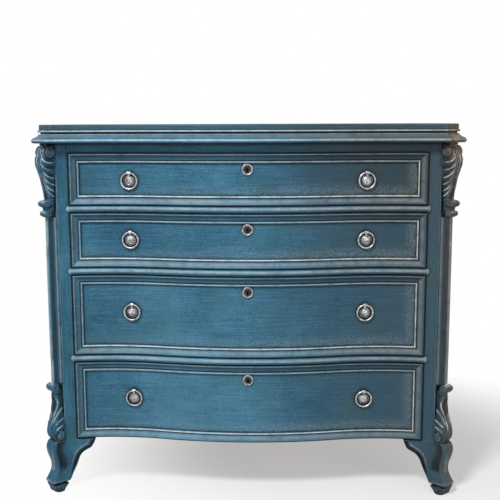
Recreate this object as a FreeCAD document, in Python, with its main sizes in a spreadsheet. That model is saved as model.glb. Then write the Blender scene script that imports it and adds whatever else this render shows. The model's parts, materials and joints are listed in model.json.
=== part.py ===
# A serpentine chest of drawers: four inset drawers between two canted, carved corners.
# Millimetres. +X is to the right, the front looks along -Y, +Z is up.
# The origin lies on the floor, under the middle of the top.
import FreeCAD, Part
import math
import os
import re
from types import SimpleNamespace

from FreeCAD import Placement, Rotation, Vector

# Driving dimensions, kept in the sheet and read back from it
SIZES = {
    # Plan of the carcass and its serpentine face
    "carcass_width": 1072,
    "carcass_depth": 515,
    "crown_radius": 1155,
    "flank_radius": 638,
    "valley_offset": 361,
    "corner_cant": 32,
    "stile_width": 31.5,
    # Heights from the floor up
    "foot_height": 146.5,
    "base_clearance": 3,
    "drawer_height_1": 136.5,
    "drawer_height_2": 146,
    "drawer_height_3": 219,
    "drawer_height_4": 214.5,
    "drawer_gap": 1.5,
    "rail_height": 18,
    "frieze_height": 24,
    # Top and cornice
    "top_thickness": 14.2,
    "top_overhang": 14,
    "top_edge_radius": 2.5,
    "back_overhang": 12,
    "nose_overhang": 33,
    "nose_height": 14,
    "nose_radius": 6,
    "ovolo_rise": 10,
    "groove_height": 4,
    "groove_overhang": 10,
    "cornice_bead_height": 6.5,
    "cornice_bead_overhang": 17.2,
    "cornice_width": 46,
    # Carcass timber
    "rail_depth": 100,
    "side_rail_thickness": 20,
    "side_rail_height": 70,
    "side_panel_thickness": 8,
    "side_panel_setback": 7,
    "rear_leg_size": 45,
    "rear_leg_toe": 32,
    "back_board_thickness": 12,
    "back_board_gap": 0.6,
    "bottom_board_thickness": 10,
    "runner_lap": 28,
    "guide_height": 25,
    "stop_thickness": 3.5,
    "stop_width": 40,
    "stop_depth": 25,
    "stop_offset": 250,
    # Rail beads
    "bead_lap": 8.5,
    # Pilaster on the cant
    "quirk_width": 3,
    "pilaster_edge": 4,
    "pilaster_projection": 17.5,
    "pilaster_fillet_width": 17,
    "pilaster_fillet_depth": 2,
    "reed_radius": 5,
    "reed_point": 14,
    "reed_top_margin": 62,
    "reed_base_margin": 57,
    # Console at the head of the pilaster
    "console_height": 194,
    "console_width": 52,
    "console_projection": 36,
    "console_roll_radius": 10,
    "console_roll_length": 34,
    "console_roll_gap": 8,
    "console_tail_radius": 9,
    "console_volute_radius": 16,
    # Scroll at the foot of the pilaster
    "scroll_height": 160,
    "scroll_width": 52,
    "scroll_projection": 34,
    "scroll_roll_radius": 11.5,
    "scroll_roll_length": 34,
    "scroll_volute_radius": 10.5,
    "volute_relief": 2.5,
    # Front feet
    "leg_width": 50,
    "leg_reach": 44,
    "leg_depth": 28,
    "leg_corner": 9,
    "wing_reach": 111,
    "wing_thickness": 26,
    # Drawer fronts and their mouldings
    "panel_setback": 5,
    "front_thickness": 22,
    "moulding_width": 26,
    "moulding_height": 8.5,
    "moulding_arris": 3,
    "moulding_quirk_height": 2.5,
    "moulding_bead_width": 6.5,
    # Drawer boxes
    "side_thickness": 13,
    "side_drop": 10,
    "bottom_thickness": 7,
    "bottom_rise": 6,
    "drawer_back_drop": 6,
    "drawer_back_clearance": 16,
    "runner_clearance": 0.3,
    # Ring pulls
    "pull_offset": 313,
    "upper_pull_drop": 73.5,
    "lower_pull_drop": 103,
    "rosette_radius": 14.5,
    "rosette_edge": 2,
    "rosette_step_radius": 10,
    "rosette_step": 2,
    "rosette_crown": 3.5,
    "ring_radius": 21,
    "ring_section_radius": 2.5,
    "ring_stand": 6,
    "ring_clearance": 0.5,
    "lug_width": 5,
    "lug_wall": 1.8,
    "stud_radius": 2.5,
    "stud_clearance": 0.3,
    "stud_end": 2,
    "nut_radius": 6,
    "nut_thickness": 4,
    # Escutcheons and locks
    "keyhole_drop": 42,
    "escutcheon_radius": 15,
    "escutcheon_rim": 3.5,
    "escutcheon_height": 4,
    "escutcheon_dish": 1.5,
    "keyhole_radius": 3.5,
    "keyhole_slot_width": 3.5,
    "keyhole_slot_length": 9,
    "lock_width": 70,
    "lock_height": 60,
    "lock_depth": 10,
    "bolt_width": 24,
    "bolt_thickness": 5,
    "bolt_length": 30,
    "bolt_clearance": 0.5,
    "bolt_travel": 8,
    "mortise_clearance": 2,
    # Cutting tools run past the wood by this much
    "overrun": 5,
}

doc = FreeCAD.newDocument("SerpentineChest")
sheet = doc.addObject("Spreadsheet::Sheet", "Sizes")
for row, (alias, value) in enumerate(SIZES.items(), start=1):
    sheet.set(f"A{row}", alias)
    sheet.set(f"B{row}", str(value))
    sheet.setAlias(f"B{row}", alias)
doc.recompute()
s = SimpleNamespace(**{alias: float(sheet.get(alias)) for alias in SIZES})

# Places worked out from the driving dimensions, in a sheet of their own
places_sheet = doc.addObject("Spreadsheet::Sheet", "Places")
PLACES = {}


def place(alias, value):
    """Keep a worked-out place in its sheet, so that objects can be bound to it."""
    row = len(PLACES) + 1
    PLACES[alias] = value
    places_sheet.set(f"A{row}", alias)
    places_sheet.set(f"B{row}", f"{value:.9f}")
    places_sheet.setAlias(f"B{row}", alias)
    return value


def bound(text):
    """Turn a sum of sheet names into an expression that names the sheets."""
    def cell(match):
        return f"{'Places' if match[0] in PLACES else 'Sizes'}.{match[0]}"
    return re.sub(r"[a-z]\w*", cell, text)


def bind(obj, **sums):
    for name, text in sums.items():
        obj.setExpression(name.replace("__", "."), bound(text))


# Plan: the face line is a convex crown between two concave flanks, tangent to each other
whole_depth = s.nose_overhang + s.carcass_depth + s.back_overhang
crown_line = place("crown_line", s.nose_overhang - whole_depth / 2)
carcass_back = place("carcass_back", crown_line + s.carcass_depth)
side_plane = place("side_plane", s.carcass_width / 2)
stile_edge = side_plane - s.corner_cant
opening_half = place("opening_half", stile_edge - s.stile_width)
front_half = place("front_half", opening_half - s.drawer_gap)
bend = math.asin(s.valley_offset / (s.crown_radius + s.flank_radius))
crown_centre = crown_line + s.crown_radius
flank_centre = crown_centre - (s.crown_radius + s.flank_radius) * math.cos(bend)


def face_y(x, inset=0):
    """Depth line of the face, or of a surface set back from it by inset."""
    crown = s.crown_radius - inset
    flank = s.flank_radius + inset
    if abs(x) <= crown * math.sin(bend):
        return crown_centre - math.sqrt(crown ** 2 - x ** 2)
    return flank_centre + math.sqrt(flank ** 2 - (abs(x) - s.valley_offset) ** 2)


def face_point(x, inset=0):
    return Vector(x, face_y(x, inset), 0)


def face_arcs(left, right, inset=0):
    """The arcs of the face line between two x places, from left to right."""
    turn = (s.crown_radius - inset) * math.sin(bend)
    stops = [left] + [x for x in (-turn, turn) if left < x < right] + [right]
    return [
        Part.Arc(face_point(a, inset), face_point((a + b) / 2, inset), face_point(b, inset))
        for a, b in zip(stops, stops[1:])
    ]


def chain(points, closed=False):
    ends = points[1:] + points[:1] if closed else points[1:]
    return [Part.LineSegment(a, b) for a, b in zip(points, ends)]


def behind_face(left, right, inset, back):
    """A closed plan: the face line in front, straight ends, a straight back."""
    corners = [face_point(right, inset), Vector(right, back, 0), Vector(left, back, 0)]
    return face_arcs(left, right, inset) + chain(corners + [face_point(left, inset)])


# Heights, worked from the floor up
level = s.foot_height + s.base_clearance
drawer_base = {}
drawer_top = {}
rail_base = {}
for number in (4, 3, 2, 1):
    drawer_base[number] = place(f"drawer_base_{number}", level)
    drawer_top[number] = place(f"drawer_top_{number}", level + getattr(s, f"drawer_height_{number}"))
    level = place(f"rail_base_{number}", drawer_top[number] + s.drawer_gap)
    rail_base[number] = level
    level += s.rail_height + s.drawer_gap
frieze_base = place("frieze_base", rail_base[1])
cornice_base = place("cornice_base", frieze_base + s.frieze_height)
ovolo_height = s.nose_height + s.ovolo_rise
cornice_height = ovolo_height + s.groove_height + s.cornice_bead_height
top_base = place("top_base", cornice_base + cornice_height)
seat = {4: place("seat_4", s.foot_height + s.rail_height)}
for number in (1, 2, 3):
    seat[number] = place(f"seat_{number}", rail_base[number + 1] + s.rail_height)

nodes = {}


def keep(obj, label):
    obj.Label = label
    nodes[label] = obj
    return obj


def group(label, members):
    compound = doc.addObject("Part::Compound", label)
    compound.Links = members
    return keep(compound, label)


def block(name, length, width, height, x, y, z):
    """A sawn block: its edges and its least corner, each a sum of sheet names."""
    obj = doc.addObject("Part::Box", name)
    bind(obj, Length=length, Width=width, Height=height)
    bind(obj, Placement__Base__x=x, Placement__Base__y=y, Placement__Base__z=z)
    return obj


def cut(name, base, tool):
    obj = doc.addObject("Part::Cut", name)
    obj.Base = base
    obj.Tool = tool
    return obj


def fuse(name, members):
    obj = doc.addObject("Part::MultiFuse", name)
    obj.Shapes = members
    return obj


def mitred(name, strip, room):
    """What of a strip lies within its room, a prism whose sides are the mitres."""
    obj = doc.addObject("Part::Common", name)
    obj.Base = strip
    obj.Tool = room
    return obj


def mirrored(label, source):
    obj = doc.addObject("Part::Mirroring", label)
    obj.Source = source
    obj.Normal = Vector(1, 0, 0)
    return keep(obj, label)


def sketch(body, role, name, curves, height=None):
    """A sketch of the given curves on one of the body's own origin planes."""
    obj = body.newObject("Sketcher::SketchObject", name)
    plane = [feature for feature in body.Origin.OriginFeatures if feature.Role == role]
    obj.AttachmentSupport = [(plane[0], "")]
    obj.MapMode = "FlatFace"
    for curve in curves:
        obj.addGeometry(curve, False)
    obj.detectMissingPointOnPointConstraints()
    obj.makeMissingPointOnPointCoincident()
    if height:
        bind(obj, AttachmentOffset__Base__z=height)
    return obj


def pad(name, curves, height, length):
    """A body sawn to a plan outline, from a height and for a length."""
    body = doc.addObject("PartDesign::Body", name)
    feature = body.newObject("PartDesign::Pad", f"{name}_pad")
    feature.Profile = sketch(body, "XY_Plane", f"{name}_plan", curves, height)
    bind(feature, Length=length)
    return body


# Top board and cornice: the carcass outline, standing proud by an overhang
def outline(overhang):
    """Corner points of the outline, from the right of the back round the left to the front."""
    side = side_plane + overhang
    lean = overhang * math.tan(math.pi / 8)
    front = stile_edge + lean
    cant = side - front
    return SimpleNamespace(side=side, front=front, shoulder=face_y(front, -overhang) + cant)


def outline_curves(overhang, back):
    """Side, cant, serpentine front, cant and side, as an open run from the back."""
    edge = outline(overhang)
    left = [Vector(-edge.side, back, 0), Vector(-edge.side, edge.shoulder, 0)]
    right = [Vector(edge.side, edge.shoulder, 0), Vector(edge.side, back, 0)]
    left.append(face_point(-edge.front, -overhang))
    right.insert(0, face_point(edge.front, -overhang))
    return chain(left) + face_arcs(-edge.front, edge.front, -overhang) + chain(right)


def top_board():
    side = outline(s.top_overhang).side
    back = carcass_back + s.back_overhang
    curves = outline_curves(s.top_overhang, back) + chain([Vector(side, back, 0), Vector(-side, back, 0)])
    body = pad("top", curves, "top_base", "top_thickness")
    doc.recompute()
    board = body.Tip
    upper = [
        f"Edge{index}" for index, edge in enumerate(board.Shape.Edges, start=1)
        if edge.BoundBox.ZMin > top_base + s.top_thickness / 2
    ]
    rounding = body.newObject("PartDesign::Fillet", "top_rounding")
    rounding.Base = (board, upper)
    bind(rounding, Radius="top_edge_radius")
    keep(body, "top_board")


def cornice_curves(at):
    """The cornice section: nose, ovolo, groove and bead. at(overhang, rise) places a point."""
    soffit = s.nose_overhang - s.nose_radius
    groove_top = ovolo_height + s.groove_height
    inner = s.nose_overhang - s.cornice_width
    round_share = 1 - math.sqrt(1 / 2)
    hollow = s.nose_radius * round_share
    nose_cap = s.nose_height - s.nose_radius
    cap_radius = (s.nose_radius ** 2 + nose_cap ** 2) / (2 * s.nose_radius)
    half_turn = math.asin(nose_cap / cap_radius) / 2
    cap_middle = at(s.nose_overhang - cap_radius * (1 - math.cos(half_turn)),
                    s.nose_radius + cap_radius * math.sin(half_turn))
    curves = [
        Part.LineSegment(at(inner, 0), at(soffit, 0)),
        Part.Arc(at(soffit, 0), at(s.nose_overhang - hollow, hollow), at(s.nose_overhang, s.nose_radius)),
        Part.Arc(at(s.nose_overhang, s.nose_radius), cap_middle, at(soffit, s.nose_height)),
        Part.Arc(at(soffit, s.nose_height),
                 at((soffit + s.top_overhang) / 2, s.nose_height + s.ovolo_rise * round_share),
                 at(s.top_overhang, ovolo_height)),
        Part.Arc(at(s.top_overhang, groove_top),
                 at(s.cornice_bead_overhang, groove_top + s.cornice_bead_height / 2),
                 at(s.top_overhang, cornice_height)),
    ]
    curves += chain([at(s.top_overhang, ovolo_height), at(s.groove_overhang, ovolo_height),
                     at(s.groove_overhang, groove_top), at(s.top_overhang, groove_top)])
    curves += chain([at(s.top_overhang, cornice_height), at(inner, cornice_height), at(inner, 0)])
    return curves


def cornice_arc(name, centre, radius, side, start, sweep):
    """A length of cornice turned about a plan centre; side is -1 where the face is in front of it."""
    body = doc.addObject("PartDesign::Body", name)
    curves = cornice_curves(lambda overhang, rise: Vector(side * radius - overhang, cornice_base + rise, 0))
    profile = sketch(body, "YZ_Plane", f"{name}_profile", curves)
    feature = body.newObject("PartDesign::Revolution", f"{name}_turning")
    feature.Profile = profile
    feature.ReferenceAxis = (profile, ["V_Axis"])
    feature.Angle = math.degrees(sweep)
    body.Placement = Placement(centre, Rotation(Vector(0, 0, 1), math.degrees(start)))
    return body


def mitre(point, before, after, depth):
    """The mitre line at a corner of the nose: a point outside the moulding and one inside."""
    bisector = (after - before).normalize()
    spread = math.cos(before.getAngle(after) / 2)
    return point - bisector * (s.overrun / spread), point + bisector * (depth / spread)


def straight_length(name, frame, length, room):
    """A straight length of cornice in a frame whose -y looks outwards, within its mitred room."""
    body = doc.addObject("PartDesign::Body", f"{name}_stock")
    curves = cornice_curves(lambda overhang, rise: Vector(-overhang, cornice_base + rise, 0))
    stock = body.newObject("PartDesign::Pad", f"{name}_pad")
    stock.Profile = sketch(body, "YZ_Plane", f"{name}_profile", curves, "-cornice_width")
    bind(stock, Length=length)
    body.Placement = frame
    return mitred(name, body, pad(f"{name}_room", chain(room, closed=True), "cornice_base", "cornice_room"))


def cornice_moulding():
    """Turned front lengths, then straight front ends, cants and sides, mitred at the nose's corners."""
    nose = outline(s.nose_overhang)
    shoulder = Vector(nose.side, nose.shoulder, 0)
    lean = math.asin((nose.front - s.corner_cant - s.valley_offset) / (s.flank_radius - s.nose_overhang))
    along_front = Vector(math.cos(lean), -math.sin(lean), 0)
    along_cant = Vector(1, 1, 0).normalize()
    along_side = Vector(0, 1, 0)
    into = Vector(math.sin(lean), math.cos(lean), 0)
    turning = Vector(s.valley_offset, flank_centre, 0)
    start = turning + into * (s.flank_radius - s.nose_overhang)
    reach = shoulder - start
    run = (reach.x * along_cant.y - reach.y * along_cant.x) / (
        along_front.x * along_cant.y - along_front.y * along_cant.x)
    arris = start + along_front * run
    arris_out, arris_in = mitre(arris, along_front, along_cant, s.cornice_width + s.overrun)
    shoulder_out, shoulder_in = mitre(shoulder, along_cant, along_side, s.cornice_width + s.overrun)

    # The front is turned in three lengths, which end square to the face
    turned_lengths = [
        cornice_arc("cornice_crown", Vector(0, crown_centre, 0), s.crown_radius, -1, -bend, 2 * bend),
        cornice_arc("cornice_right_flank", turning, s.flank_radius, 1, -lean, lean + bend),
        cornice_arc("cornice_left_flank", Vector(-s.valley_offset, flank_centre, 0), s.flank_radius, 1,
                    -bend, lean + bend),
    ]
    end = straight_length("cornice_end", Placement(turning + into * s.flank_radius,
                                                   Rotation(Vector(0, 0, 1), -math.degrees(lean))),
                          "4 * cornice_width",
                          [start - into * s.overrun, arris_out, arris_in,
                           start + into * (s.cornice_width + s.overrun)])
    nose_line = (arris - corner_middle).dot(corner_out)
    cant = straight_length("cornice_cant",
                           corner * Placement(Vector(0, s.nose_overhang - nose_line, 0), Rotation()),
                           "2 * cornice_width", [arris_out, arris_in, shoulder_in, shoulder_out])

    # The side length runs from the back to its mitre
    side = doc.addObject("PartDesign::Body", "cornice_side_stock")
    curves = cornice_curves(lambda overhang, rise: Vector(side_plane + overhang, cornice_base + rise, 0))
    stock = side.newObject("PartDesign::Pad", "cornice_side_pad")
    stock.Profile = sketch(side, "XZ_Plane", "cornice_side_profile", curves, "-carcass_back")
    bind(stock, Length="carcass_depth")
    room = [shoulder_out, shoulder_in, Vector(shoulder_in.x, carcass_back, 0),
            Vector(shoulder_out.x, carcass_back, 0)]
    side = mitred("cornice_side", side,
                  pad("cornice_side_room", chain(room, closed=True), "cornice_base", "cornice_room"))
    right_corner = doc.addObject("Part::Compound", "cornice_right_corner")
    right_corner.Links = [end, cant, side]
    left_corner = doc.addObject("Part::Mirroring", "cornice_left_corner")
    left_corner.Source = right_corner
    left_corner.Normal = Vector(1, 0, 0)
    back = block("cornice_back", "2 * (side_plane + nose_overhang - cornice_width)", "back_board_thickness",
                 "cornice_room", "cornice_width - nose_overhang - side_plane",
                 "carcass_back - back_board_thickness", "cornice_base")
    group("cornice_moulding", turned_lengths + [right_corner, left_corner, back])


# Carcass: posts, rails, side frames, back and bottom
def corner_posts():
    plan = face_arcs(opening_half, stile_edge)
    plan += chain([face_point(stile_edge), Vector(side_plane, outline(0).shoulder, 0),
                   Vector(side_plane, rail_back, 0), Vector(opening_half, rail_back, 0),
                   face_point(opening_half)])
    post = pad("post", plan, "foot_height", "cornice_base - foot_height")
    mirrored("left_corner_post", keep(post, "right_corner_post"))


def mortise(number):
    """The hole above a drawer that takes its lock bolt."""
    return block(f"mortise_{number}", "bolt_width + 2 * mortise_clearance",
                 "bolt_thickness + 2 * mortise_clearance", "bolt_travel + mortise_clearance",
                 "-bolt_width / 2 - mortise_clearance", "bolt_line - mortise_clearance",
                 f"rail_base_{number}")


def rails():
    plan = behind_face(-opening_half, opening_half, 0, rail_back)
    frieze = pad("frieze", plan, "frieze_base", "frieze_height")
    keep(cut("frieze_rail", frieze, mortise(1)), "frieze_rail")
    members = []
    for number in (2, 3, 4):
        rail = pad(f"rail_{number}", plan, f"rail_base_{number}", "rail_height")
        members.append(cut(f"mortised_rail_{number}", rail, mortise(number)))
    base = behind_face(-opening_half, opening_half, front_back_inset + s.runner_clearance, rail_back)
    members.append(pad("base_rail", base, "foot_height", "rail_height"))
    group("drawer_rails", members)


def rail_beads():
    """Half-round nosings on the rails, with round ends that lap the stiles."""
    radius = s.rail_height / 2
    half = opening_half + s.bead_lap - radius
    lean = math.degrees(math.asin((half - s.valley_offset) / s.flank_radius))
    beads = []
    for number in (2, 3, 4):
        body = doc.addObject("PartDesign::Body", f"bead_{number}")
        middle = rail_base[number] + radius
        line = face_y(half)
        ends = [Vector(line, middle + radius, 0), Vector(line, middle - radius, 0)]
        profile = [Part.Arc(ends[0], Vector(line - radius, middle, 0), ends[1])] + chain(ends[::-1])
        pipe = body.newObject("PartDesign::AdditivePipe", f"bead_{number}_pipe")
        pipe.Profile = sketch(body, "YZ_Plane", f"bead_{number}_profile", profile, "-bead_half")
        pipe.Spine = sketch(body, "XY_Plane", f"bead_{number}_path", face_arcs(-half, half),
                            f"rail_base_{number}")
        pipe.Mode = "Fixed"
        caps = []
        for side, turn in ((-1, 180 + lean), (1, 270)):
            cap = doc.addObject("Part::Sphere", f"bead_{number}_cap")
            bind(cap, Radius="rail_height / 2")
            cap.Angle3 = 90 - lean
            cap.Placement = Placement(Vector(side * half, line, middle), Rotation(Vector(0, 0, 1), turn))
            caps.append(cap)
        beads.append(fuse(f"rounded_bead_{number}", [body] + caps))
    group("rail_beads", beads)


def side_frames():
    run = "rear_front - rail_back"
    rail_x = "side_plane - side_rail_thickness"
    upper = block("side_rail_upper", "side_rail_thickness", run, "side_rail_height",
                  rail_x, "rail_back", "cornice_base - side_rail_height")
    lower = block("side_rail_lower", "side_rail_thickness", run, "side_rail_height",
                  rail_x, "rail_back", "foot_height")
    panel = block("side_board", "side_panel_thickness", run,
                  "cornice_base - foot_height - 2 * side_rail_height",
                  "side_plane - side_panel_setback - side_panel_thickness", "rail_back",
                  "foot_height + side_rail_height")
    mirrored("left_side_panel", group("right_side_panel", [upper, lower, panel]))


def rear_legs():
    inner = side_plane - s.rear_leg_size
    outlines = [Vector(side_plane, 0, 0), Vector(side_plane, cornice_base, 0),
                Vector(inner, cornice_base, 0), Vector(inner, s.foot_height, 0),
                Vector(side_plane - s.rear_leg_toe, 0, 0)]
    body = doc.addObject("PartDesign::Body", "rear_leg")
    feature = body.newObject("PartDesign::Pad", "rear_leg_pad")
    feature.Profile = sketch(body, "XZ_Plane", "rear_leg_side", chain(outlines, closed=True), "-carcass_back")
    bind(feature, Length="rear_leg_size")
    mirrored("left_rear_leg", keep(body, "right_rear_leg"))


def back_and_bottom():
    boards = [
        block(f"back_board_{index}", "back_board_width", "back_board_thickness",
              "cornice_base - foot_height",
              f"rear_leg_size - side_plane + {index} * (back_board_width + back_board_gap)",
              "carcass_back - back_board_thickness", "foot_height")
        for index in range(BACK_BOARDS)
    ]
    group("back_boards", boards)
    keep(block("bottom", "2 * (opening_half - runner_lap)",
               "carcass_back - back_board_thickness - rail_back", "bottom_board_thickness",
               "runner_lap - opening_half", "rail_back", "foot_height"), "bottom_board")


def runners_and_guides():
    """Runners under each drawer side, kickers under the top, and guides beside the drawers."""
    width = "side_plane - side_rail_thickness - opening_half"
    run = "rear_front - rail_back"
    far = "side_rail_thickness - side_plane"
    runners = []
    guides = []
    floors = [f"seat_{number} - rail_height" for number in (1, 2, 3, 4)] + ["frieze_base"]
    for floor in floors:
        for x in ("opening_half - runner_lap", far):
            runners.append(block("runner", width + " + runner_lap", run, "rail_height", x, "rail_back", floor))
    for number in (1, 2, 3, 4):
        for x in ("opening_half", far):
            guides.append(block("guide", width, run, "guide_height", x, "rail_back", f"seat_{number}"))
    group("drawer_runners", runners)
    group("drawer_guides", guides)


def drawer_stops():
    stops = []
    for number in (1, 2, 3):
        for x in ("stop_offset - stop_width / 2", "-stop_offset - stop_width / 2"):
            stops.append(block("stop", "stop_width", "stop_depth", "stop_thickness", x,
                               "stop_line", f"seat_{number}"))
    group("drawer_stops", stops)


# Canted corners: pilaster, carved console above it, carved scroll below it
def pilasters():
    half = s.corner_cant / math.sqrt(2) - s.quirk_width
    fillet = s.pilaster_fillet_width / 2
    foot = Vector(half, -s.pilaster_edge, 0)
    head = Vector(fillet, s.pilaster_fillet_depth - s.pilaster_projection, 0)
    chord = head - foot
    hollow_share = 0.2
    sag = Vector(chord.y, -chord.x, 0) * hollow_share
    middle = (foot + head) / 2 + sag
    crest = Vector(fillet, -s.pilaster_projection, 0)

    def across(point):
        return Vector(-point.x, point.y, 0)

    plan = chain([Vector(half, 0, 0), foot]) + [Part.Arc(foot, middle, head)]
    plan += chain([head, crest, across(crest), across(head)])
    plan += [Part.Arc(across(head), across(middle), across(foot))]
    plan += chain([across(foot), Vector(-half, 0, 0), Vector(half, 0, 0)])
    shaft = pad("pilaster", plan, "pilaster_base", "console_base - pilaster_base")
    shaft.Placement = corner
    reed = doc.addObject("Part::Cylinder", "reed")
    bind(reed, Radius="reed_radius", Height="reed_top - reed_base - 2 * reed_point")
    tips = []
    for z, turn in ((reed_top - s.reed_point, 0), (reed_base + s.reed_point, 180)):
        tip = doc.addObject("Part::Cone", "reed_tip")
        bind(tip, Radius1="reed_radius", Height="reed_point")
        tip.Radius2 = 0
        tip.Placement = corner * Placement(Vector(0, -s.pilaster_projection, z),
                                           Rotation(Vector(1, 0, 0), turn))
        tips.append(tip)
    reed.Placement = corner * Placement(Vector(0, -s.pilaster_projection, reed_base + s.reed_point), Rotation())
    mirrored("left_pilaster", keep(fuse("right_pilaster", [shaft, reed] + tips), "right_pilaster"))


def reeded_section(half, depth, z):
    """A level section of a carving: flat back, plain flanks and three swelling reeds in front."""
    brow_share, quirk_share, swell_share = 0.75, 0.93, 0.12
    brow = -depth * brow_share
    quirk = -depth * quirk_share
    corners = [Vector(-half, 0, z), Vector(-half, brow, z), Vector(-half / 3, quirk, z),
               Vector(half / 3, quirk, z), Vector(half, brow, z), Vector(half, 0, z)]
    edges = [Part.LineSegment(corners[0], corners[1])]
    for a, b in zip(corners[1:4], corners[2:5]):
        out = Vector(b.y - a.y, a.x - b.x, 0).normalize()
        edges.append(Part.Arc(a, (a + b) / 2 + out * depth * swell_share, b))
    edges += [Part.LineSegment(corners[4], corners[5]), Part.LineSegment(corners[5], corners[0])]
    return Part.Wire([edge.toShape() for edge in edges])


def reeded_body(base, height, width, projection, station_shares):
    """A loft through level sections; each station gives height, width and depth shares."""
    sections = [
        reeded_section(width / 2 * wide, projection * deep, base + height * high)
        for high, wide, deep in station_shares
    ]
    return Part.makeLoft(sections, True, False)


def roll(radius, length, out, z):
    """A scroll seen end-on from both flanks: a cylinder lying along the cant."""
    return Part.makeCylinder(radius, length, Vector(-length / 2, -out, z), Vector(1, 0, 0))


def carving(label, pieces):
    obj = doc.addObject("Part::Feature", label)
    obj.Shape = pieces[0].multiFuse(pieces[1:]).removeSplitter()
    obj.Placement = corner
    mirrored("left_" + label, keep(obj, "right_" + label))


def consoles():
    station_shares = ((0.08, 0.55, 0.55), (0.25, 0.58, 0.55), (0.43, 0.7, 0.65), (0.55, 0.81, 0.76),
                      (0.66, 0.93, 0.88), (0.8, 1.0, 1.0), (0.92, 0.88, 0.86), (1.0, 0.78, 0.74))
    body = reeded_body(console_base, s.console_height, s.console_width, s.console_projection,
                       station_shares)
    tail_z = console_base + s.console_tail_radius
    roll_z = tail_z + s.console_tail_radius + s.console_roll_gap + s.console_roll_radius
    volute_z = cornice_base - s.console_volute_radius - 2 * s.volute_relief
    volute_length = s.console_width + 2 * s.volute_relief
    carving("console", [
        body,
        roll(s.console_roll_radius, s.console_roll_length,
             s.console_projection - s.console_roll_radius - 2 * s.volute_relief, roll_z),
        roll(s.console_tail_radius, s.console_roll_length, 2 * s.console_tail_radius, tail_z),
        roll(s.console_volute_radius, volute_length, s.console_volute_radius + s.volute_relief / 2, volute_z),
    ])


def lower_scrolls():
    station_shares = ((0.0, 0.85, 0.75), (0.21, 0.97, 0.97), (0.35, 0.85, 0.80),
                      (0.57, 0.62, 0.62), (0.75, 0.56, 0.60), (0.9, 0.55, 0.60))
    body = reeded_body(s.foot_height, s.scroll_height, s.scroll_width, s.scroll_projection,
                       station_shares)
    roll_z = pilaster_base - s.scroll_roll_radius
    volute_z = s.foot_height + s.scroll_volute_radius + 2 * s.volute_relief
    volute_length = s.scroll_width + 2 * s.volute_relief
    carving("lower_scroll", [
        body,
        roll(s.scroll_roll_radius, s.scroll_roll_length,
             s.scroll_projection - s.scroll_roll_radius - s.volute_relief, roll_z),
        roll(s.scroll_volute_radius, volute_length, s.scroll_volute_radius + s.volute_relief, volute_z),
    ])


# Front feet: a cabriole leg on the cant with a toe and block, and a wing along each side
def leg_section(half, front, back, z):
    """A level section of the leg: a square with rounded corners."""
    radius = min(s.leg_corner, half / 2)
    corners = [Vector(-half, -back, z), Vector(half, -back, z), Vector(half, -front, z), Vector(-half, -front, z)]
    edges = []
    round_share = 1 - math.sqrt(1 / 2)
    for before, point, after in zip(corners[-1:] + corners, corners, corners[1:] + corners[:1]):
        into = (before - point).normalize() * radius
        away = (after - point).normalize() * radius
        edges.append((point + into, point + (into + away) * round_share, point + away))
    wire = []
    for (start, middle, end), follow in zip(edges, edges[1:] + edges[:1]):
        wire.append(Part.Arc(start, middle, end).toShape())
        wire.append(Part.LineSegment(end, follow[0]).toShape())
    return Part.Wire(wire)


def leg_loft(station_shares):
    """Each station gives shares of the foot's height and the leg's width, reach and depth."""
    return Part.makeLoft([
        leg_section(s.leg_width / 2 * wide, s.leg_reach * reach, -s.leg_depth * deep, s.foot_height * high)
        for high, wide, reach, deep in station_shares
    ], True, False)


def wing_profile(along):
    """The sawn outline of a wing; along turns a share of its reach into a point's place."""
    edge_shares = ((0, 0.985), (0.03, 0.91), (0.085, 0.825), (0.2, 0.77), (0.3, 0.72), (0.37, 0.655),
                   (0.43, 0.56), (0.485, 0.45), (0.54, 0.35), (0.595, 0.262), (0.63, 0.18))
    root_share = 0.85
    lower = Part.BSplineCurve()
    lower.interpolate([along(run) + Vector(0, 0, s.foot_height * rise) for run, rise in edge_shares])
    first, last = lower.StartPoint, lower.EndPoint
    ankle = along(root_share) + Vector(0, 0, last.z)
    root = along(root_share) + Vector(0, 0, s.foot_height)
    tip = along(0) + Vector(0, 0, s.foot_height)
    return Part.Wire([lower.toShape()] + [line.toShape() for line in chain([last, ankle, root, tip, first])])


def front_feet():
    leg_shares = ((1.0, 0.8, 0.57, 1.0), (0.92, 0.95, 0.785, 1.0), (0.83, 0.97, 0.825, 1.0),
                  (0.72, 0.94, 0.76, 1.0), (0.6, 0.85, 0.63, 1.0), (0.46, 0.78, 0.58, 1.0),
                  (0.3, 0.78, 0.81, 0.75), (0.2, 0.84, 0.9, 0.42), (0.165, 0.8, 0.83, 0.38))
    block_shares = ((0.165, 0.72, 0.66, -0.05), (0.0, 0.62, 0.58, -0.3))
    leg = leg_loft(leg_shares).fuse(leg_loft(block_shares))
    leg.Placement = corner
    tip_x = side_plane - s.wing_reach
    profile = wing_profile(lambda run: Vector(tip_x + s.wing_reach * run, crown_line, 0))
    board = Part.Face(profile).extrude(Vector(0, s.rail_depth, 0))
    band = face_arcs(tip_x - s.overrun, stile_edge + s.corner_cant / 2)
    inner = face_arcs(tip_x - s.overrun, stile_edge + s.corner_cant / 2, s.wing_thickness)
    ends = chain([inner[0].StartPoint, band[0].StartPoint]) + chain([band[-1].EndPoint, inner[-1].EndPoint])
    plan = Part.Face(Part.Wire(Part.__sortEdges__([edge.toShape() for edge in band + inner + ends])))
    wing = board.common(plan.extrude(Vector(0, 0, s.foot_height)))
    along_cant = Vector(corner_out.y, -corner_out.x, 0)
    side_wing = wing.mirror(corner_middle, along_cant)
    obj = doc.addObject("Part::Feature", "front_foot")
    obj.Shape = leg.multiFuse([wing, side_wing]).removeSplitter()
    mirrored("left_front_foot", keep(obj, "right_front_foot"))


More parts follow.
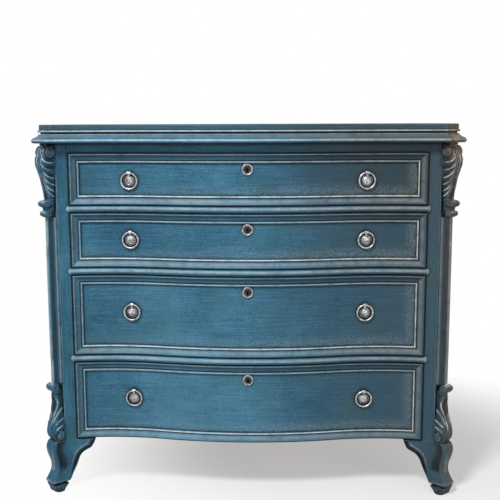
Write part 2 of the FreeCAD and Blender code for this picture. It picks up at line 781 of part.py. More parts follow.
# Drawers
def drawer_front(number):
    outer = face_arcs(-front_half, front_half, s.panel_setback)
    inner = face_arcs(-front_half, front_half, front_back_inset)
    ends = [Part.LineSegment(face_point(x, s.panel_setback), face_point(x, front_back_inset))
            for x in (-front_half, front_half)]
    board = pad(f"front_{number}", outer + inner + ends, f"drawer_base_{number}", f"drawer_height_{number}")
    pocket = block(f"lock_pocket_{number}", "lock_width", "lock_depth + overrun", "lock_height + overrun",
                   "-lock_width / 2", "lock_line", f"drawer_top_{number} - lock_height")
    tools = [pocket] + keyhole(number, "crown_line", "lock_depth + front_thickness")
    for side in (-1, 1):
        hole = doc.addObject("Part::Cylinder", f"stud_hole_{number}")
        bind(hole, Radius="stud_radius + stud_clearance", Height="front_thickness + 2 * overrun")
        hole.Placement = pull_frame(number, side) * Placement(Vector(0, -s.overrun, 0), INWARD)
        tools.append(hole)
    keep(cut(f"drawer_{number}_front", board, fuse(f"front_tools_{number}", tools)), f"drawer_{number}_front")


def keyhole(number, line, length):
    """A round key barrel with a slot below it, cut along the depth."""
    barrel = doc.addObject("Part::Cylinder", f"key_barrel_{number}")
    bind(barrel, Radius="keyhole_radius", Height=length)
    bind(barrel, Placement__Base__y=line, Placement__Base__z=f"drawer_top_{number} - keyhole_drop")
    barrel.Placement.Rotation = INWARD
    slot = block(f"key_slot_{number}", "keyhole_slot_width", length, "keyhole_slot_length",
                 "-keyhole_slot_width / 2", line,
                 f"drawer_top_{number} - keyhole_drop - keyhole_slot_length")
    return [barrel, slot]


def moulding_curves(at):
    """The frame moulding: square arris, hollow, quirk and inner bead. at(d, h) places a point."""
    heel = s.moulding_width - s.moulding_bead_width
    hollow_share = 0.12
    fall = s.moulding_height - s.moulding_quirk_height
    middle = (s.moulding_arris + heel) / 2
    hollow = at(middle, (s.moulding_height + s.moulding_quirk_height) / 2 - fall * hollow_share)
    crest = at(heel + s.moulding_bead_width / 2, s.moulding_quirk_height + s.moulding_bead_width / 2)
    arris = at(s.moulding_arris, s.moulding_height)
    quirk = at(heel, s.moulding_quirk_height)
    return chain([at(0, 0), at(0, s.moulding_height), arris]) + [
        Part.Arc(arris, hollow, quirk), Part.Arc(quirk, crest, at(s.moulding_width, 0))]


def mitre_wedge(name, points):
    """A prism through the whole front, whose slanting ends are the mitres."""
    body = doc.addObject("PartDesign::Body", name)
    feature = body.newObject("PartDesign::Pad", f"{name}_pad")
    feature.Profile = sketch(body, "XZ_Plane", f"{name}_outline", chain(points, closed=True), "-rail_back")
    bind(feature, Length="rail_depth + nose_overhang")
    return body


def drawer_moulding(number):
    base, top = drawer_base[number], drawer_top[number]
    width = s.moulding_width
    line = face_y(front_half, s.panel_setback)
    strips = []
    for edge, turn, name in ((top, -1, "upper"), (base, 1, "lower")):
        name = f"{name}_moulding_{number}"

        def across(distance, height):
            return Vector(line - height, edge + turn * distance, 0)

        body = doc.addObject("PartDesign::Body", name)
        pipe = body.newObject("PartDesign::AdditivePipe", f"{name}_pipe")
        curves = moulding_curves(across) + chain([across(width, 0), across(0, 0)])
        pipe.Profile = sketch(body, "YZ_Plane", f"{name}_profile", curves, "-front_half")
        pipe.Spine = sketch(body, "XY_Plane", f"{name}_path",
                            face_arcs(-front_half, front_half, s.panel_setback),
                            f"drawer_base_{number}")
        pipe.Mode = "Fixed"
        corners = [Vector(-front_half, edge, 0), Vector(front_half, edge, 0),
                   Vector(front_half - width, edge + turn * width, 0),
                   Vector(width - front_half, edge + turn * width, 0)]
        strips.append(mitred(f"mitred_{name}", body, mitre_wedge(f"{name}_wedge", corners)))
    for side, name in ((-1, "left"), (1, "right")):
        name = f"{name}_moulding_{number}"

        def along(distance, height):
            x = side * (front_half - distance)
            return Vector(x, face_y(x, s.panel_setback) - height, 0)

        inner = side * (front_half - width)
        seat_arc = face_arcs(min(inner, side * front_half), max(inner, side * front_half), s.panel_setback)
        strip = pad(name, moulding_curves(along) + seat_arc, f"drawer_base_{number}", f"drawer_height_{number}")
        corners = [Vector(side * front_half, base, 0), Vector(side * front_half, top, 0),
                   Vector(inner, top - width, 0), Vector(inner, base + width, 0)]
        strips.append(mitred(f"mitred_{name}", strip, mitre_wedge(f"{name}_wedge", corners)))
    group(f"drawer_{number}_moulding", strips)


def drawer_box(number):
    side_base = place(f"side_base_{number}", seat[number] + s.runner_clearance)
    place(f"side_top_{number}", drawer_top[number] - s.side_drop)
    inner = front_half - s.side_thickness
    sides = [
        pad(f"side_{number}", behind_face(left, right, front_back_inset, drawer_end),
            f"side_base_{number}", f"side_top_{number} - side_base_{number}")
        for left, right in ((-front_half, -inner), (inner, front_half))
    ]
    floor = pad(f"floor_{number}", behind_face(-inner, inner, front_back_inset, drawer_end),
                f"side_base_{number} + bottom_rise", "bottom_thickness")
    back_base = f"side_base_{number} + bottom_rise + bottom_thickness"
    back = block(f"back_{number}", "2 * (front_half - side_thickness)", "side_thickness",
                 f"side_top_{number} - drawer_back_drop - ({back_base})",
                 "side_thickness - front_half", "drawer_end - side_thickness", back_base)
    group(f"drawer_{number}_box", sides + [floor, back])


# Ring pulls: rosette with a lug at its head, a stud and nut through the front, and the ring
def pull_frame(number, side):
    """Where a pull sits: on the panel, square to its curved face."""
    x = side * s.pull_offset
    turn = math.asin((s.valley_offset - s.pull_offset) / (s.flank_radius + s.panel_setback))
    drop = s.upper_pull_drop if number < 3 else s.lower_pull_drop
    point = Vector(x, face_y(x, s.panel_setback), drawer_top[number] - drop)
    return Placement(point, Rotation(Vector(0, 0, 1), math.degrees(side * turn)))


def turned(name, curves):
    """A body turned about the axis that points out of the drawer."""
    body = doc.addObject("PartDesign::Body", name)
    profile = sketch(body, "XY_Plane", f"{name}_profile", curves)
    feature = body.newObject("PartDesign::Revolution", f"{name}_turning")
    feature.Profile = profile
    feature.ReferenceAxis = (profile, ["V_Axis"])
    feature.Angle = 360
    return body


def rod(name, radius, height, frame):
    obj = doc.addObject("Part::Cylinder", name)
    bind(obj, Radius=radius, Height=height)
    obj.Placement = frame
    return obj


def rosette(number, side):
    name = f"rosette_{number}_{'left' if side < 0 else 'right'}"
    frame = pull_frame(number, side)
    # A flat back touches the hollow panel only at its rim, so it stands off by the hollow's depth
    stand = s.rosette_radius ** 2 / (2 * (s.flank_radius + s.panel_setback))
    rim = -stand - s.rosette_edge
    step = rim - s.rosette_step
    crown = step - s.rosette_crown
    rise_share = 0.8
    curves = chain([Vector(0, -stand, 0), Vector(s.rosette_radius, -stand, 0), Vector(s.rosette_radius, rim, 0),
                    Vector(s.rosette_step_radius, step, 0)])
    curves.append(Part.Arc(Vector(s.rosette_step_radius, step, 0),
                           Vector(s.rosette_step_radius / 2, step - s.rosette_crown * rise_share, 0),
                           Vector(0, crown, 0)))
    curves += chain([Vector(0, crown, 0), Vector(0, -stand, 0)])
    boss = turned(name, curves)
    boss.Placement = frame
    pivot = Vector(-s.lug_width / 2, -s.ring_stand, s.ring_radius)
    across = Rotation(Vector(0, 1, 0), 90)
    lug = rod(f"{name}_lug", "ring_section_radius + ring_clearance + lug_wall", "lug_width",
              frame * Placement(pivot, across))
    web = doc.addObject("Part::Box", f"{name}_web")
    bind(web, Length="lug_width", Width="ring_stand - rosette_edge / 2", Height="ring_radius - rosette_step_radius")
    web.Placement = frame * Placement(Vector(-s.lug_width / 2, -s.ring_stand, s.rosette_step_radius), Rotation())
    stud = rod(f"{name}_stud", "stud_radius", "front_thickness + nut_thickness + stud_end + rosette_edge / 2",
               frame * Placement(Vector(0, -s.rosette_edge / 2, 0), INWARD))
    bore = rod(f"{name}_bore", "ring_section_radius + ring_clearance", "lug_width + 2 * overrun",
               frame * Placement(pivot - Vector(s.overrun, 0, 0), across))
    knob = cut(f"{name}_bored", fuse(f"{name}_body", [boss, lug, web, stud]), bore)
    nut = cut(f"{name}_nut",
              rod(f"{name}_nut_blank", "nut_radius", "nut_thickness",
                  frame * Placement(Vector(0, s.front_thickness, 0), INWARD)),
              rod(f"{name}_nut_hole", "stud_radius", "nut_thickness + stud_end",
                  frame * Placement(Vector(0, s.front_thickness, 0), INWARD)))
    return [knob, nut]


def pulls(number):
    group(f"drawer_{number}_rosettes", rosette(number, -1) + rosette(number, 1))
    for side, name in ((-1, "left"), (1, "right")):
        ring = doc.addObject("Part::Torus", f"ring_{number}_{name}")
        bind(ring, Radius1="ring_radius", Radius2="ring_section_radius")
        ring.Placement = pull_frame(number, side) * Placement(Vector(0, -s.ring_stand, 0), INWARD)
        keep(ring, f"drawer_{number}_{name}_ring")


# Keyhole escutcheon, lock case and its rising bolt
def escutcheon(number):
    inner = s.escutcheon_radius - s.escutcheon_rim
    middle = (s.escutcheon_radius + inner) / 2
    low = -s.escutcheon_height / 2
    curves = chain([Vector(0, -s.escutcheon_dish, 0), Vector(0, 0, 0), Vector(s.escutcheon_radius, 0, 0),
                    Vector(s.escutcheon_radius, low, 0)])
    curves.append(Part.Arc(Vector(s.escutcheon_radius, low, 0), Vector(middle, -s.escutcheon_height, 0),
                           Vector(inner, low, 0)))
    curves += chain([Vector(inner, low, 0), Vector(inner, -s.escutcheon_dish, 0), Vector(0, -s.escutcheon_dish, 0)])
    plate = turned(f"escutcheon_{number}", curves)
    plate.Placement = Placement(Vector(0, crown_line + s.panel_setback, drawer_top[number] - s.keyhole_drop),
                                Rotation())
    hole = fuse(f"escutcheon_hole_{number}", keyhole(number, "crown_line - overrun", "overrun + lock_depth"))
    keep(cut(f"drawer_{number}_escutcheon", plate, hole), f"drawer_{number}_escutcheon")


def lock(number):
    top = f"drawer_top_{number}"
    case = block(f"lock_case_{number}", "lock_width", "lock_depth", "lock_height",
                 "-lock_width / 2", "lock_line", f"{top} - lock_height")
    channel = block(f"lock_channel_{number}", "bolt_width + 2 * bolt_clearance",
                    "bolt_thickness + 2 * bolt_clearance", "bolt_length + 2 * bolt_clearance + overrun",
                    "-bolt_width / 2 - bolt_clearance", "bolt_line - bolt_clearance",
                    f"{top} - bolt_length - 2 * bolt_clearance")
    keep(cut(f"drawer_{number}_lock", case, channel), f"drawer_{number}_lock")
    keep(block(f"bolt_{number}", "bolt_width", "bolt_thickness", "bolt_length", "-bolt_width / 2",
               "bolt_line", f"{top} - bolt_length - bolt_clearance"), f"drawer_{number}_bolt")


# Places shared by the pieces above
BACK_BOARDS = 5
INWARD = Rotation(Vector(1, 0, 0), -90)
rail_back = place("rail_back", crown_line + s.rail_depth)
rear_front = place("rear_front", carcass_back - s.rear_leg_size)
front_back_inset = s.panel_setback + s.front_thickness
drawer_end = place("drawer_end", carcass_back - s.back_board_thickness - s.drawer_back_clearance)
place("lock_line", crown_line + front_back_inset - s.lock_depth)
place("bolt_line", crown_line + front_back_inset - (s.lock_depth + s.bolt_thickness) / 2)
place("bead_half", opening_half + s.bead_lap - s.rail_height / 2)
place("cornice_room", cornice_height)
place("stop_line", face_y(s.stop_offset + s.stop_width / 2, front_back_inset) + s.runner_clearance)
back_span = 2 * (side_plane - s.rear_leg_size) - (BACK_BOARDS - 1) * s.back_board_gap
place("back_board_width", back_span / BACK_BOARDS)
corner_middle = (face_point(stile_edge) + Vector(side_plane, outline(0).shoulder, 0)) / 2
corner_out = Vector(1, -1, 0).normalize()
corner = Placement(corner_middle, Rotation(Vector(0, 0, 1), 45))
console_base = place("console_base", cornice_base - s.console_height)
pilaster_base = place("pilaster_base", s.foot_height + s.scroll_height)
reed_top = place("reed_top", console_base - s.reed_top_margin)
reed_base = place("reed_base", pilaster_base + s.reed_base_margin)
doc.recompute()

top_board()
cornice_moulding()
corner_posts()
rails()
rail_beads()
side_frames()
rear_legs()
back_and_bottom()
runners_and_guides()
drawer_stops()
pilasters()
consoles()
lower_scrolls()
front_feet()
for number in (1, 2, 3, 4):
    drawer_front(number)
    drawer_moulding(number)
    drawer_box(number)
    pulls(number)
    escutcheon(number)
    lock(number)
doc.recompute()

# Every object is sound before anything is written
failed = [obj.Label for obj in doc.Objects if {"Invalid", "Error"} & set(obj.State)]
failed += [label for label, obj in nodes.items() if obj.Shape.isNull() or not obj.Shape.isValid()]
if failed:
    raise RuntimeError(f"not built: {failed}")
os.makedirs("parts", exist_ok=True)
for label, obj in nodes.items():
    obj.Shape.exportStep(f"parts/{label}.step")
print(len(nodes), "nodes,", sum(len(obj.Shape.Solids) for obj in nodes.values()), "solids")
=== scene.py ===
# Serpentine chest of drawers in worn blue paint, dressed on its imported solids.
import json
import math

import bpy
import numpy as np
from mathutils import Matrix, Vector


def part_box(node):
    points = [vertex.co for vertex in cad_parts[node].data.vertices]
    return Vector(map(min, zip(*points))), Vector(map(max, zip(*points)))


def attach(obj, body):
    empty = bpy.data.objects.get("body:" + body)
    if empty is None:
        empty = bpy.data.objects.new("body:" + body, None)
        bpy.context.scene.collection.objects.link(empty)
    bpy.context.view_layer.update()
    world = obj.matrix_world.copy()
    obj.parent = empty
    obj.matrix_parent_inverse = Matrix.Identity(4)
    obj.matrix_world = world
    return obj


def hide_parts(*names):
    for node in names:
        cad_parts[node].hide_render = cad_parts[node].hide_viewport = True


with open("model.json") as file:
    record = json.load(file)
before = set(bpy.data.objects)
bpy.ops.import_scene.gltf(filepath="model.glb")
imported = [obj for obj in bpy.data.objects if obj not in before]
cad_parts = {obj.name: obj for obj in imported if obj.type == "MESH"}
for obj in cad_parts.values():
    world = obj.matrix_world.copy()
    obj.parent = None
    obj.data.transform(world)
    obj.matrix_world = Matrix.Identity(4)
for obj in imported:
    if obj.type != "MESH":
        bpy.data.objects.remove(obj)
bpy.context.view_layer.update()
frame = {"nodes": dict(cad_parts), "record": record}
nodes = frame["nodes"]
bpy.ops.object.select_all(action="DESELECT")
scene = bpy.context.scene

# Corner posts, side frames and rear legs
# Beech joiner's work under hand-brushed chalk paint, waxed and rubbed back: blue on the
# flats, near black in the quirks, where painted shade joins the dark wax, pale or brown where
# edges are worn.
# How much the front is lightened as painted light, and how far left of the middle that is most
PAINTED_LIGHT, PAINTED_LIGHT_SHIFT = 0.15, 0.13
ALONG_X, ALONG_Z = (9, 9, 320), (320, 320, 9)


def linear(hex_colour):
    """An sRGB hex colour as the linear value that a socket takes."""
    channels = [int(hex_colour[i:i + 2], 16) / 255 for i in (1, 3, 5)]
    return [c / 12.92 if c <= 0.04045 else ((c + 0.055) / 1.055) ** 2.4 for c in channels] + [1]


def add(tree, kind, links=None, **settings):
    """Add a node with its settings; links gives each input a value or another node's output."""
    node = tree.nodes.new(kind)
    for name, value in settings.items():
        setattr(node, name, value)
    for name, value in (links or {}).items():
        socket = node.inputs[name]
        if isinstance(value, bpy.types.NodeSocket):
            tree.links.new(value, socket)
        else:
            socket.default_value = value
    return node


def maths(tree, operation, value, *others):
    """Arithmetic on numbers and sockets, from left to right."""
    for other in others or (0,):
        value = add(tree, "ShaderNodeMath", {0: value, 1: other}, operation=operation).outputs[0]
    return value


def ramped(tree, value, start, end, low=0, high=1, curve="LINEAR"):
    """A value that runs from low at the start to high at the end, and stays there beyond them."""
    return add(tree, "ShaderNodeMapRange",
               {"Value": value, "From Min": start, "From Max": end, "To Min": low, "To Max": high},
               interpolation_type=curve).outputs[0]


def mixed(tree, share, first, second):
    """A colour between two, each a socket or an sRGB hex colour."""
    first, second = (linear(c) if isinstance(c, str) else c for c in (first, second))
    return add(tree, "ShaderNodeMix", {"Factor": share, "A": first, "B": second},
               data_type="RGBA").outputs["Result"]


def noise(tree, place, scale, detail, roughness=0.5, distortion=0):
    """Noise with about so many spots to the metre."""
    return add(tree, "ShaderNodeTexNoise",
               {"Vector": place, "Scale": scale, "Detail": detail, "Roughness": roughness,
                "Distortion": distortion}).outputs[0]


def toned(tree, value, steps):
    """The colours that a value runs through; each step is a share and an sRGB hex colour."""
    node = add(tree, "ShaderNodeValToRGB", {"Fac": value})
    elements = node.color_ramp.elements
    for element, (share, colour) in zip(elements, (steps[0], steps[-1])):
        element.position, element.color = share, linear(colour)
    for share, colour in steps[1:-1]:
        elements.new(share).color = linear(colour)
    return node.outputs[0]


def plain_material(name):
    """A new material, with its tree, its shader and its object coordinates."""
    material = bpy.data.materials.new(name)
    material.use_nodes = True
    tree = material.node_tree
    place = add(tree, "ShaderNodeTexCoord").outputs["Object"]
    return material, tree, tree.nodes["Principled BSDF"], place


def chalk_paint(name, strokes, wear=1.0, lines=None, quirks=None, wax_and_shade_depth=1.0, grey=0.0,
                carved=False, seams=False, bare_back=False, right_end_shade=0.0):
    """Brushed chalk paint. strokes is how often brush marks repeat along x, y and z, per metre.
    wear scales the rubbed edges, and the wax and shade depth the dark quirks, which are painted
    shade with some dark wax; lines add rubbed lines, some of them painted highlights, and quirks
    add dark lines of painted shade. grey is how far the paint has greyed, and the right-end shade
    how far the right-hand end is darkened as painted shade. A carved piece has a carving attribute,
    from 0 in its hollows to 1 on its crests, which also carries painted light and shade. A piece of
    butted lengths has seams, and is rubbed along its lines alone. A bare back is left unpainted."""
    material, tree, shader, place = plain_material(name)
    spot = list(add(tree, "ShaderNodeSeparateXYZ", {0: place}).outputs)
    # Coats of uneven thickness, in patches of about 150 mm
    cloud = noise(tree, place, 6.5, 5, 0.6)
    # Brush marks about 3 mm apart, coarser than bristles so that they show
    run = add(tree, "ShaderNodeMapping", {"Vector": place, "Scale": strokes}).outputs[0]
    brush = noise(tree, run, 1, 3, 0.55)
    # Mottling of about 3 mm, from chalk in the paint
    chalk = noise(tree, place, 320, 3, 0.65)
    fine = add(tree, "ShaderNodeMix", {"Factor": 0.6, "A": brush, "B": chalk}).outputs[0]
    # Painted light: the front is lightened most a little left of its middle, and more of it low down
    reach = maths(tree, "ABSOLUTE", maths(tree, "ADD", spot[0], PAINTED_LIGHT_SHIFT))
    painted_light_share = ramped(tree, reach, 0.52, 0, high=PAINTED_LIGHT, curve="SMOOTHSTEP")
    lower = ramped(tree, spot[2], 0.9, 0.4, low=0.4)
    tone = maths(tree, "ADD", ramped(tree, cloud, 0, 1, 0.3, 0.7), fine,
                 maths(tree, "MULTIPLY", painted_light_share, lower))
    colour = toned(tree, ramped(tree, tone, 0.81, 1.22),
                   ((0, "#0B2C40"), (0.5, "#24546E"), (1, "#477A93")))
    # An older green coat shows through in patches of about 80 mm
    green = ramped(tree, noise(tree, place, 12, 4, 0.6), 0.45, 0.7, high=0.5)
    colour = mixed(tree, green, colour, "#2A5B60")
    # Towards the right end the blue is thinner and greyer, and darker as painted shade, most towards
    # the top
    greyed_and_shaded = ramped(tree, spot[0], 0, 0.4, grey, 1.25)
    upper_shade = ramped(tree, spot[2], 0.6, 0.85, 1, 1.5)
    colour = mixed(tree, maths(tree, "MULTIPLY", greyed_and_shaded, cloud, upper_shade), colour, "#324147")
    # Painted shade darkens the right-hand end, by the given amount
    if right_end_shade:
        colour = mixed(tree, ramped(tree, spot[0], 0.02, 0.38, high=right_end_shade), colour, "#131D22")
    # Quirks, corners and carved hollows are darkened, as painted shade with some dark wax
    corner = add(tree, "ShaderNodeAmbientOcclusion", {"Distance": 0.013}, samples=8).outputs["AO"]
    wax_and_shade = ramped(tree, corner, 0.93, 0.5, high=wax_and_shade_depth)
    if carved:
        carving = add(tree, "ShaderNodeAttribute", attribute_name="carving").outputs["Fac"]
        wax_and_shade = maths(tree, "MAXIMUM", wax_and_shade, ramped(tree, carving, 0.46, 0.3, high=0.85))
    if quirks:
        wax_and_shade = maths(tree, "MAXIMUM", wax_and_shade, quirks(tree, spot, chalk))
    colour = mixed(tree, wax_and_shade, colour, "#030D15")
    patchy = noise(tree, place, 38, 6, 0.7)
    relief = add(tree, "ShaderNodeBump", {"Height": brush, "Strength": 0.25, "Distance": 0.0006})
    rubbed = 0
    if not seams:
        # Edges are rubbed where the rounded normal leaves the true one, and not in hollows
        rounding = add(tree, "ShaderNodeBevel", {"Radius": 0.003}, samples=6).outputs[0]
        tree.links.new(rounding, relief.inputs["Normal"])
        flat = add(tree, "ShaderNodeNewGeometry").outputs["Normal"]
        match = add(tree, "ShaderNodeVectorMath", {0: rounding, 1: flat},
                    operation="DOT_PRODUCT").outputs["Value"]
        rubbed = maths(tree, "MULTIPLY", ramped(tree, match, 0.99, 0.85),
                       ramped(tree, corner, 0.72, 0.95))
        if carved:
            # Carved crests are rubbed pale, and this also paints the highlights held in the carving's
            # tone
            paler = ramped(tree, spot[0], -0.4, 0.4, 0.65, 0.9)
            crest = maths(tree, "MULTIPLY", ramped(tree, carving, 0.84, 1), paler)
            rubbed = maths(tree, "MAXIMUM", rubbed, crest)
        rubbed = maths(tree, "MULTIPLY", rubbed, ramped(tree, patchy, 0.34, 0.64, high=wear))
    if lines:
        rubbed = maths(tree, "MAXIMUM", rubbed, lines(tree, spot, patchy))
    # The right front corner is worn through to brown wood in patches
    brown = maths(tree, "MULTIPLY", ramped(tree, patchy, 0.36, 0.5),
                  ramped(tree, spot[1], -0.17, -0.21),
                  ramped(tree, spot[2], 0.9, 0.95, 0.3, 1.6),
                  ramped(tree, spot[0], 0.505, 0.545, high=0.8))
    colour = mixed(tree, brown, colour, "#785A35")
    # Rubbed paint is pale chalk on the left and shows brown wood towards the right end
    bared = mixed(tree, ramped(tree, spot[0], 0.1, 0.6, high=0.75), "#C6D8DD", "#B8AF9C")
    colour = mixed(tree, rubbed, colour, bared)
    if bare_back:
        # The brush stopped at the back face, where the sawn wood shows
        normal = add(tree, "ShaderNodeTexCoord").outputs["Normal"]
        turned = add(tree, "ShaderNodeSeparateXYZ", {0: normal}).outputs[1]
        wood = mixed(tree, brush, "#6F5539", "#B4946B")
        colour = mixed(tree, ramped(tree, turned, 0.4, 0.6), colour, wood)
    tree.links.new(colour, shader.inputs["Base Color"])
    tree.links.new(ramped(tree, brush, 0, 1, 0.36, 0.56), shader.inputs["Roughness"])
    shader.inputs["Specular IOR Level"].default_value = 0.26
    tree.links.new(relief.outputs[0], shader.inputs["Normal"])
    return material


def finish(node, material):
    """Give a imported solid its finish."""
    nodes[node].data.materials.clear()
    nodes[node].data.materials.append(material)


# A painted shadow of the drawer gaps also lines the posts beside the drawers
DRAWER_GAP = 0.0015
post_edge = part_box("drawer_1_front")[1][0] + DRAWER_GAP


def drawer_gap_shadow(tree, spot, patchy):
    """The painted shadow line down each post beside the drawers."""
    off = maths(tree, "SUBTRACT", maths(tree, "ABSOLUTE", spot[0]), post_edge)
    return ramped(tree, off, 0.0032, 0.0012)


post_paint = chalk_paint("chalk_paint_posts", ALONG_Z, quirks=drawer_gap_shadow)
finish("left_corner_post", post_paint)
finish("right_corner_post", post_paint)
upright_paint = chalk_paint("chalk_paint_upright", ALONG_Z)
for node in ("left_rear_leg", "right_rear_leg", "left_side_panel", "right_side_panel"):
    finish(node, upright_paint)

# Back, bottom, runners, guides and stops
# Sawn pine left bare inside and behind: straw brown, with long grain lines about 4 mm
# apart and a dusty, unpolished surface.


def sawn_pine(name, stretch, board_start=None, board_pitch=1.0):
    """Bare pine. stretch is how often the grain repeats along x, y and z, per metre; boards
    side by side differ in tone, from the first one's edge and their pitch across."""
    material, tree, shader, place = plain_material(name)
    run = add(tree, "ShaderNodeMapping", {"Vector": place, "Scale": stretch}).outputs[0]
    grain = noise(tree, run, 1, 5, distortion=0.6)
    wood = toned(tree, grain, ((0.3, "#7E6244"), (0.7, "#B4946B")))
    if board_start is not None:
        across = add(tree, "ShaderNodeSeparateXYZ", {0: place}).outputs[0]
        count = maths(tree, "DIVIDE", maths(tree, "SUBTRACT", across, board_start), board_pitch)
        board = maths(tree, "FLOOR", count)
        own = add(tree, "ShaderNodeTexWhiteNoise", {"W": board}, noise_dimensions="1D")
        wood = mixed(tree, ramped(tree, own.outputs["Value"], 0, 1, high=0.55), wood, "#6A5038")
        # A dark shrinkage line about 3 mm wide, so that it shows, at each joint
        part = maths(tree, "FRACT", count)
        edge = maths(tree, "ABSOLUTE", maths(tree, "SUBTRACT", part, 0.5))
        joint = ramped(tree, edge, 0.5 - 0.0025 / board_pitch, 0.5 - 0.0008 / board_pitch)
        wood = mixed(tree, joint, wood, "#1E150D")
    # Painted shade darkens the bare wood in corners and recesses
    corner = add(tree, "ShaderNodeAmbientOcclusion", {"Distance": 0.03}, samples=6).outputs["AO"]
    shaded_wood = mixed(tree, ramped(tree, corner, 0.9, 0.3, high=0.6), wood, "#3E2F22")
    tree.links.new(shaded_wood, shader.inputs["Base Color"])
    shader.inputs["Roughness"].default_value = 0.72
    relief = add(tree, "ShaderNodeBump", {"Height": grain, "Strength": 0.3, "Distance": 0.0005})
    tree.links.new(relief.outputs[0], shader.inputs["Normal"])
    return material


BACK_BOARDS = 5
back_low, back_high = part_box("back_boards")
back_pitch = (back_high[0] - back_low[0]) / BACK_BOARDS
pine_upright = sawn_pine("sawn_pine_upright", (250, 250, 6), back_low[0], back_pitch)
pine_deep = sawn_pine("sawn_pine_deep", (250, 6, 250))
pine_across = sawn_pine("sawn_pine_across", (6, 250, 250))
finish("back_boards", pine_upright)
for node in ("bottom_board", "drawer_runners", "drawer_guides"):
    finish(node, pine_deep)
finish("drawer_stops", pine_across)

# Frieze, drawer rails and their beads
# Rails tenoned between the posts, each faced with a half-round bead. The beads are
# brushed along their length and rubbed pale along the crest.
frieze_paint = chalk_paint("chalk_paint_level", ALONG_X, seams=True)
finish("frieze_rail", frieze_paint)
finish("drawer_rails", frieze_paint)
BEAD_RADIUS, RAIL_DROP = 0.009, 0.0105
bead_low, bead_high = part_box("rail_beads")
bead_middles = [bead_low[2] + BEAD_RADIUS, bead_high[2] - BEAD_RADIUS,
                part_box("drawer_2_front")[0][2] - RAIL_DROP]


def height_up(tree, spot):
    """The height of a place."""
    return spot[2]


def banded(levels, measure=height_up, patch_low=0.0):
    """Makes lines along a piece: each has a place by the measure, a half width and a strength."""
    def lines(tree, spot, patchy):
        bands = []
        for middle, half, strength in levels:
            off = maths(tree, "SUBTRACT", measure(tree, spot), middle)
            bands.append(ramped(tree, maths(tree, "ABSOLUTE", off), half, half * 0.3, high=strength))
        patch = ramped(tree, patchy, 0.35, 0.65, low=patch_low)
        return maths(tree, "MULTIPLY", maths(tree, "MAXIMUM", *bands), patch)
    return lines


bead_crests = banded([(middle + 0.002, 0.005, 0.42) for middle in bead_middles], patch_low=0.4)
bead_ends = banded([(bead_low[0], 0.011, 0.7), (bead_high[0], 0.011, 0.7)],
                   measure=lambda tree, spot: spot[0], patch_low=0.4)


def bead_lines(tree, spot, patchy):
    """The rubbed crests and ends of the beads."""
    return maths(tree, "MAXIMUM", bead_crests(tree, spot, patchy), bead_ends(tree, spot, patchy))


finish("rail_beads", chalk_paint("chalk_paint_beads", ALONG_X, lines=bead_lines, seams=True))

# Top board and cornice
# A solid top over a moulded cornice of bead, groove and rounded nose, in lengths mitred at
# the cants. Hands and dusting have rubbed its edges most.
cornice_low, cornice_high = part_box("cornice_moulding")
# The pale lines are partly rubbed paint and partly painted highlight on the upward-facing ovolo and
# nose; the dark lines are painted shade in the groove and along the edges
cornice_rubs_and_highlights = banded([(cornice_low[2] + 0.0085, 0.0035, 0.55),
                        (cornice_low[2] + 0.0185, 0.007, 0.14),
                        (cornice_high[2] - 0.0028, 0.0022, 0.75),
                        (cornice_high[2] - 0.0108, 0.0016, 0.45)], patch_low=0.5)
cornice_shade_lines = banded([(cornice_high[2], 0.0014, 0.9), (cornice_high[2] - 0.0085, 0.0022, 0.95),
                         (cornice_low[2] + 0.0008, 0.0025, 0.8)], patch_low=0.8)
finish("cornice_moulding", chalk_paint("chalk_paint_cornice", ALONG_X, lines=cornice_rubs_and_highlights,
                                       quirks=cornice_shade_lines, seams=True))
finish("top_board", chalk_paint("chalk_paint_top", ALONG_X, wear=0.9, wax_and_shade_depth=0.6, grey=0.6))

# Pilasters
# Planted shafts with a hollow each side of a flat fillet and a stopped reed, on the cants.
# The hollows are darkened as painted shade; the middle with its reed and the inner lip are rubbed
# pale, partly as painted highlight.
CORNER = Vector((0.520, -0.2105, 0))
HALF_TURN = math.sqrt(0.5)


def along_cant(tree, spot):
    """How far a place lies from the middle of the cant, towards the chest's side."""
    return maths(tree, "ADD", maths(tree, "ABSOLUTE", spot[0]), spot[1], -CORNER.x - CORNER.y)


pilaster_rubs_and_highlights = banded([(0.0018 / HALF_TURN, 0.0125, 0.5), (-0.0180 / HALF_TURN, 0.004, 0.35)],
                       along_cant, 0.5)
pilaster_hollow_shade = banded([(-0.0100 / HALF_TURN, 0.0046, 0.8), (-0.0215 / HALF_TURN, 0.003, 0.95),
                          (0.0135 / HALF_TURN, 0.0042, 0.9), (0.0215 / HALF_TURN, 0.003, 0.95)],
                         along_cant, 0.7)
pilaster_paint = chalk_paint("chalk_paint_pilaster", ALONG_Z, lines=pilaster_rubs_and_highlights,
                             quirks=pilaster_hollow_shade, seams=True)
finish("left_pilaster", pilaster_paint)
finish("right_pilaster", pilaster_paint)

# Consoles
# Carved beech brackets at the pilaster heads: a volute and overlapping leaf lobes on each
# flank, three stems in front, and a double roll at the foot. Carved in one piece, glued on.
carved_paint = chalk_paint("chalk_paint_carving", (60, 60, 40), wear=1.25, wax_and_shade_depth=1.15, carved=True)
# Heights of the crests over the blank and depth of the ground, in mm, and the outer flank's share
CREST, GROUND, SHALLOW = 4.2, 1.8, 0.4
ROLL_END = 14


def new_piece(name, mesh):
    """A new object, selected alone."""
    piece = bpy.data.objects.new(name, mesh)
    scene.collection.objects.link(piece)
    bpy.ops.object.select_all(action="DESELECT")
    piece.select_set(True)
    bpy.context.view_layer.objects.active = piece
    return piece


